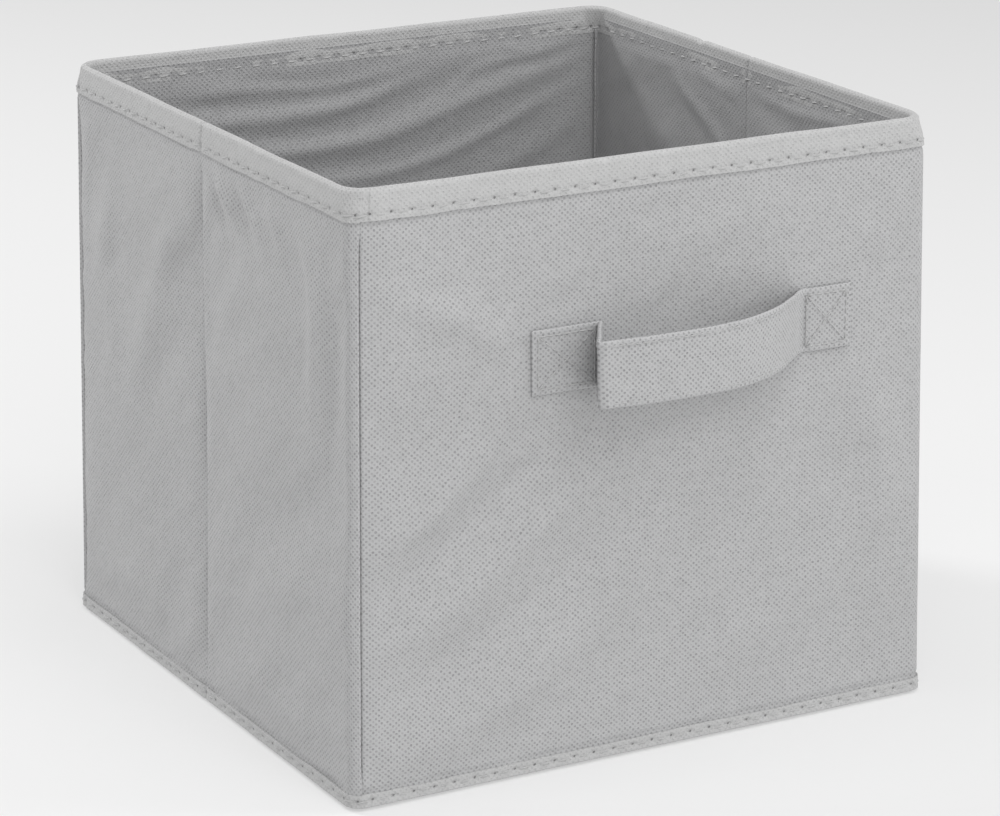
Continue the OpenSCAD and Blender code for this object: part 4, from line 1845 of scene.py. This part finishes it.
@dataclass
class Base:
    """The sewn-in floor sheet and the loose insert: a board in a fabric sleeve."""

    fabric: bpy.types.Material
    tape: bpy.types.Material
    thread: bpy.types.Material
    stitcher: StitchMaker
    half: float = 138.4
    low: float = 0.8
    high: float = 3.8
    floor_half: float = 142.8
    sewn_in: float = 6.0
    row_pitch: float = 5.6

    def floor(self) -> bpy.types.Object:
        """Builds the floor sheet.

        Returns:
            The sheet.
        """
        clouds = Clouds(91)
        line = stops(-self.floor_half, self.floor_half, 4.0)
        x, y = np.meshgrid(line, line, indexing="ij")
        z = 0.42 + 0.12 * clouds(x, y, 30.0)
        def face(height: Grid) -> Grid:
            """One face of the sheet."""
            return np.stack([x, y, height], -1) * MM
        piece = closed_cloth("floor_cloth", face(z), face(z - 0.35), np.stack([x, y], -1) * MM)
        dress(piece, self.fabric)
        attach(piece, "back")
        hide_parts("floor_sheet")
        self.floor_half * MM
        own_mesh(piece)
        2 * self.floor_half * MM
        2 * self.floor_half * MM
        return piece

    def _top(self, x: Grid, y: Grid) -> Grid:
        """Shapes the sleeve's upper face: slack, a sewn line and a rounded edge.

        Args:
            x: place from left to right.
            y: place from front to back.

        Returns:
            Its height, in millimetres.
        """
        clouds = Clouds(97)
        edge = self.half - np.maximum(np.abs(x), np.abs(y))
        swell = 0.35 * clouds(x, y, 34.0, 2.0, 30.0) + 0.25 * clouds(x + 500, y, 15.0, 2.5, 120.0)
        for fold in (Fold(((-120, -120), (-80, -70), (-60, -30)), 0.5, 5.0),
                     Fold(((122, 118), (84, 80), (70, 40)), 0.5, 5.0),
                     Fold(((-118, 120), (-70, 90), (-20, 84)), 0.4, 6.0),
                     Fold(((110, -124), (60, -96), (20, -90)), 0.45, 6.0),
                     Fold(((-60, 10), (0, 22), (70, 8)), 0.35, 9.0)):
            swell = swell + fold.height(x, y)
        tab = smooth(np.hypot(x, (y + 121) * 0.6), 12.0, 20.0)
        slack = np.clip(swell, -0.1, 0.9) * smooth(edge, 3.0, 12.0) * tab
        sewn = 0.35 * np.exp(-((edge - self.sewn_in) / 0.8) ** 2)
        round_off = np.clip(1 - (1 - np.clip(edge / 2.2, 0, 1)) ** 2, 0, 1)
        return self.high + 0.15 + slack - sewn - 2.6 * (1.0 - np.sqrt(round_off))

    def sleeve(self) -> list[bpy.types.Object]:
        """Builds the sleeve's upper and lower cloths.

        Returns:
            Both cloths.
        """
        seam = self.half - self.sewn_in
        line = stops(-self.half, self.half, 3.0, (-self.half, -seam, seam, self.half), 0.4, 2.4)
        x, y = np.meshgrid(line, line, indexing="ij")
        top = self._top(x, y)
        def face(height: Grid) -> Grid:
            """One face of a cloth."""
            return np.stack([x, y, height], -1) * MM
        cut = np.stack([x, y], -1) * MM
        low = np.full_like(x, self.low)
        upper = closed_cloth("base_sleeve_upper", face(top), face(top - 0.4), cut, CLOTH_EDGE)
        lower = closed_cloth("base_sleeve_lower", face(low + 0.4), face(low), cut, CLOTH_EDGE)
        for piece in (upper, lower):
            dress(piece, self.fabric)
            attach(piece, "base")
            2 * self.half * MM
            2 * self.half * MM
        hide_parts("base_cover")
        return [upper, lower]

    def tab(self) -> bpy.types.Object:
        """Builds the ribbon pull tab, folded back on itself and sewn at the edge.

        Returns:
            The ribbon.
        """
        along = np.linspace(-137.6, -103.9, 60)
        across = np.concatenate([[-11, -10.85, -10.5], np.linspace(-9.8, 9.8, 12),
                                 [10.5, 10.85, 11]])
        y, x = np.meshgrid(along, across, indexing="ij")
        clouds = Clouds(103)
        t = (y + 137.6) / 33.7
        rise = self.high + 0.25 + 0.5 * np.sin(t * math.pi)
        rise = rise + 0.12 * clouds(x, y, 9.0) + 0.4 * t ** 3
        thick = 0.35 + 0.25 * np.exp(-((t - 1.0) / 0.05) ** 2) - 0.12 * (np.abs(x) > 10.9)
        def face(height: Grid) -> Grid:
            """One face of the ribbon."""
            return np.stack([x, y, height], -1) * MM
        piece = closed_cloth("base_tab_ribbon", face(rise + thick), face(rise),
                             np.stack([x, y], -1) * MM, CLOTH_EDGE)
        dress(piece, self.tape)
        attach(piece, "base")
        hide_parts("base_pull_tab")
        return piece

    def border(self) -> bpy.types.Object:
        """Sews round the sleeve, and across the tab.

        Returns:
            The stitches.
        """
        reach = self.half - self.sewn_in
        corners = [(-reach, -reach), (reach, -reach), (reach, reach), (-reach, reach)]
        centres, ahead = [], []
        for (x0, y0), (x1, y1) in zip(corners, corners[1:] + corners[:1]):
            count = round(2 * reach / self.row_pitch)
            for k in range(count):
                t = (k + 0.5) / count
                centres.append((x0 + (x1 - x0) * t, y0 + (y1 - y0) * t))
                ahead.append(((x1 - x0) / (2 * reach), (y1 - y0) / (2 * reach), 0.0))
        spots = np.array(centres)
        z = self._top(spots[:, 0], spots[:, 1]) - 0.02
        z = z + 0.55 * ((np.abs(spots[:, 0]) < 11.5) & (spots[:, 1] < 0))
        points = np.stack([spots[:, 0], spots[:, 1], z], -1) * MM
        lift = np.tile([0.0, 0.0, 1.0], (len(spots), 1))
        piece = self.stitcher.row("base_sleeve_thread", points, np.array(ahead), lift, 107)
        dress(piece, self.thread)
        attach(piece, "base")
        return piece

    def build(self) -> None:
        """Builds the floor sheet and the insert."""
        for piece in (self.floor(), *self.sleeve(), self.tab(), self.border()):
            LOG.info("built %s", piece.name)


@dataclass
class Boards:
    """The chipboard stiffeners. The insert's stays as it is in the frame."""

    board: bpy.types.Material
    thin: float = 0.8
    short: float = 5.0
    snip: float = 12.0
    crease_gap: float = 11.0
    outward_shift: float = 0.2

    def _panel(self, panel: Panel) -> bpy.types.Object:
        """Cuts one wall's board, its top corners snipped to clear the bound corners.

        Args:
            panel: the panel that it stiffens.

        Returns:
            The board.
        """
        node = f"{panel.name}_board"
        start, end = (np.array(c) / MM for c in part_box(node))
        run_axis = 1 if panel.folds_away else 0
        for corner in (start, end):
            if abs(corner[1]) < self.crease_gap:
                corner[1] = math.copysign(self.crease_gap, corner[1])
        centre, size = (start + end) / 2, end - start
        clear_selection()
        across = 0 if panel.folds_away else 1
        size[across] *= self.thin
        size[2] -= self.short
        centre[2] -= self.short / 2
        bpy.ops.mesh.primitive_cube_add(size=1.0, location=tuple(centre * MM))
        piece = bpy.context.active_object
        piece.name = f"{panel.name}_chipboard"
        bpy.ops.object.transform_apply(location=True, rotation=True, scale=True)
        bpy.ops.object.mode_set(mode="EDIT")
        bpy.ops.mesh.select_all(action="SELECT")
        bpy.ops.transform.resize(value=tuple(size * MM), center_override=tuple(centre * MM))
        shift = tuple(c * self.outward_shift * MM for c in panel.outward)
        bpy.ops.transform.translate(value=shift)
        bpy.ops.mesh.select_all(action="DESELECT")
        bpy.ops.object.mode_set(mode="OBJECT")
        top = (centre[2] + size[2] / 2) * MM - 1e-4
        for edge in piece.data.edges:
            a, b = (piece.data.vertices[v].co for v in edge.vertices)
            edge.select = bool(a.z > top and b.z > top and abs(a[run_axis] - b[run_axis]) < 1e-6)
        bpy.context.tool_settings.mesh_select_mode = (False, True, False)
        bpy.ops.object.mode_set(mode="EDIT")
        bpy.ops.mesh.bevel(offset=self.snip * MM, segments=4, affect="EDGES")
        bpy.ops.object.mode_set(mode="OBJECT")
        piece.data.materials.append(self.board)
        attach(piece, panel.body)
        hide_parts(node)
        return piece

    def build(self) -> None:
        """Cuts the wall boards and dresses the insert's."""
        for panel in PANELS:
            LOG.info("built %s", self._panel(panel).name)
        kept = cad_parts["base_board"]
        kept.data.materials.clear()
        kept.data.materials.append(self.board)
        LOG.info("dressed %s", kept.name)


@dataclass(frozen=True)
class Lamp:
    """One soft studio lamp."""

    name: str
    place: tuple[float, float, float]
    aim: tuple[float, float, float]
    size: tuple[float, float]
    watts: float

    def build(self) -> None:
        """Hangs the lamp."""
        data = bpy.data.lights.new(self.name, "AREA")
        data.shape = "RECTANGLE"
        data.size, data.size_y = self.size
        data.energy = self.watts
        lamp = bpy.data.objects.new(self.name, data)
        lamp.location = self.place
        way = Vector(self.aim) - Vector(self.place)
        lamp.rotation_euler = way.to_track_quat("-Z", "Y").to_euler()
        bpy.context.scene.collection.objects.link(lamp)


@dataclass
class Studio:
    """Floor, light and camera."""

    eye: tuple[float, float, float] = (-0.853385, -1.552379, 0.674122)
    yaw: float = -28.981
    pitch: float = 17.297
    lens: float = 138.74
    sky: float = 0.25
    glow: float = 0.40
    floor_tone: Colour = (0.45, 0.45, 0.45)
    lamps: tuple[Lamp, ...] = (
        Lamp("low_right_lamp", (2.4, -0.9, 0.5), (0.0, -0.14, 0.14), (0.35, 0.35), 5.3),
        Lamp("high_right_softbox", (1.8, -1.0, 1.5), (0.0, -0.14, 0.14), (0.8, 0.8), 10.3),
        Lamp("front_softbox", (-0.4, -2.6, 1.0), (0.0, 0.0, 0.14), (1.8, 1.8), 18.4),
        Lamp("low_left_rear_lamp", (-1.1, 2.2, 0.7), (-0.14, 0.0, 0.14), (0.35, 0.35), 8.5),
        Lamp("high_left_rear_lamp", (-1.0, 1.7, 1.6), (-0.14, 0.0, 0.14), (0.35, 0.35), 18.9),
        Lamp("left_softbox", (-2.3, 0.3, 1.4), (0.0, 0.0, 0.14), (0.8, 0.8), 5.0),
        Lamp("overhead_softbox", (0.2, -0.3, 2.4), (0.0, 0.0, 0.14), (1.6, 1.6), 17.0),
        Lamp("high_front_softbox", (-0.3, -1.5, 2.2), (0.0, 0.0, 0.14), (1.8, 1.8), 20.0),
    )

    def build(self) -> None:
        """Sets the stage."""
        clear_selection()
        bpy.ops.mesh.primitive_plane_add(size=9.0, location=(0.0, 0.0, -0.0002))
        floor = bpy.context.active_object
        floor.name = "studio_floor"
        bpy.ops.object.transform_apply(location=True, rotation=True, scale=True)
        sweep = Sweep("studio_sweep", self.floor_tone, self.glow)
        floor.data.materials.append(sweep.material())
        world = bpy.data.worlds.new("studio_sky")
        world.use_nodes = True
        sky = world.node_tree.nodes["Background"]
        sky.inputs["Color"].default_value = (1.0, 1.0, 1.0, 1.0)
        sky.inputs["Strength"].default_value = self.sky
        bpy.context.scene.world = world
        for lamp in self.lamps:
            lamp.build()
        data = bpy.data.cameras.new("studio_camera")
        data.lens = self.lens
        data.sensor_width = 36.0
        data.clip_start, data.clip_end = 0.05, 20.0
        camera = bpy.data.objects.new("studio_camera", data)
        camera.location = self.eye
        camera.rotation_euler = (math.radians(90.0 - self.pitch), 0.0, math.radians(self.yaw))
        bpy.context.scene.collection.objects.link(camera)
        bpy.context.scene.camera = camera
        bpy.context.scene.view_settings.view_transform = "Standard"


def main() -> None:
    """Builds the bin piece by piece."""
    logging.basicConfig(level=logging.INFO, format="%(name)s: %(message)s")
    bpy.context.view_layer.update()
    outline = Outline()
    felt = Spunbond("cover_felt", (0.47, 0.47, 0.475)).material()
    # The lining is the cover's felt in a darker tone: painted shade for the bin's inside.
    lining = Spunbond("lining_felt_painted_shade", (0.41, 0.41, 0.415), dots=0.24).material()
    # The tape's needle holes are darkened with painted shade.
    needle = tuple(NeedleRow(height, Binding.pitch) for height in (269.25, 292.6, 404.8))
    tape = Spunbond("binding_felt", (0.56, 0.56, 0.565), dots=0.08, rows=needle).material()
    strap = Spunbond("strap_felt", (0.47, 0.47, 0.475), dots=0.34).material()
    thread = Thread("sewing_thread", (0.78, 0.78, 0.785)).material()
    board = Cardboard("grey_chipboard", (0.33, 0.31, 0.28)).material()
    stitcher = StitchMaker(6.4, 0.90, 0.50)
    border_stitcher = StitchMaker(4.6, 0.75, 0.44)
    Studio().build()
    Boards(board).build()
    walls = Walls(outline, felt, lining)
    walls.build()
    binding = Binding(outline, tape, thread, stitcher)
    for count, panel in enumerate(PANELS):
        for piece in binding.panel(panel, 200 + 10 * count):
            LOG.info("built %s", piece.name)
    for count, strip in enumerate(STRIPS):
        for piece in binding.strip(strip, walls.cross, 300 + 10 * count):
            LOG.info("built %s", piece.name)
    box_stitcher = StitchMaker(3.9, 0.75, 0.42)
    edge_stitcher = StitchMaker(3.6, 0.6, 0.34)
    Handle(outline, strap, thread, box_stitcher, edge_stitcher).build()
    Base(felt, tape, thread, border_stitcher).build()


if __name__ == "__main__":
    main()
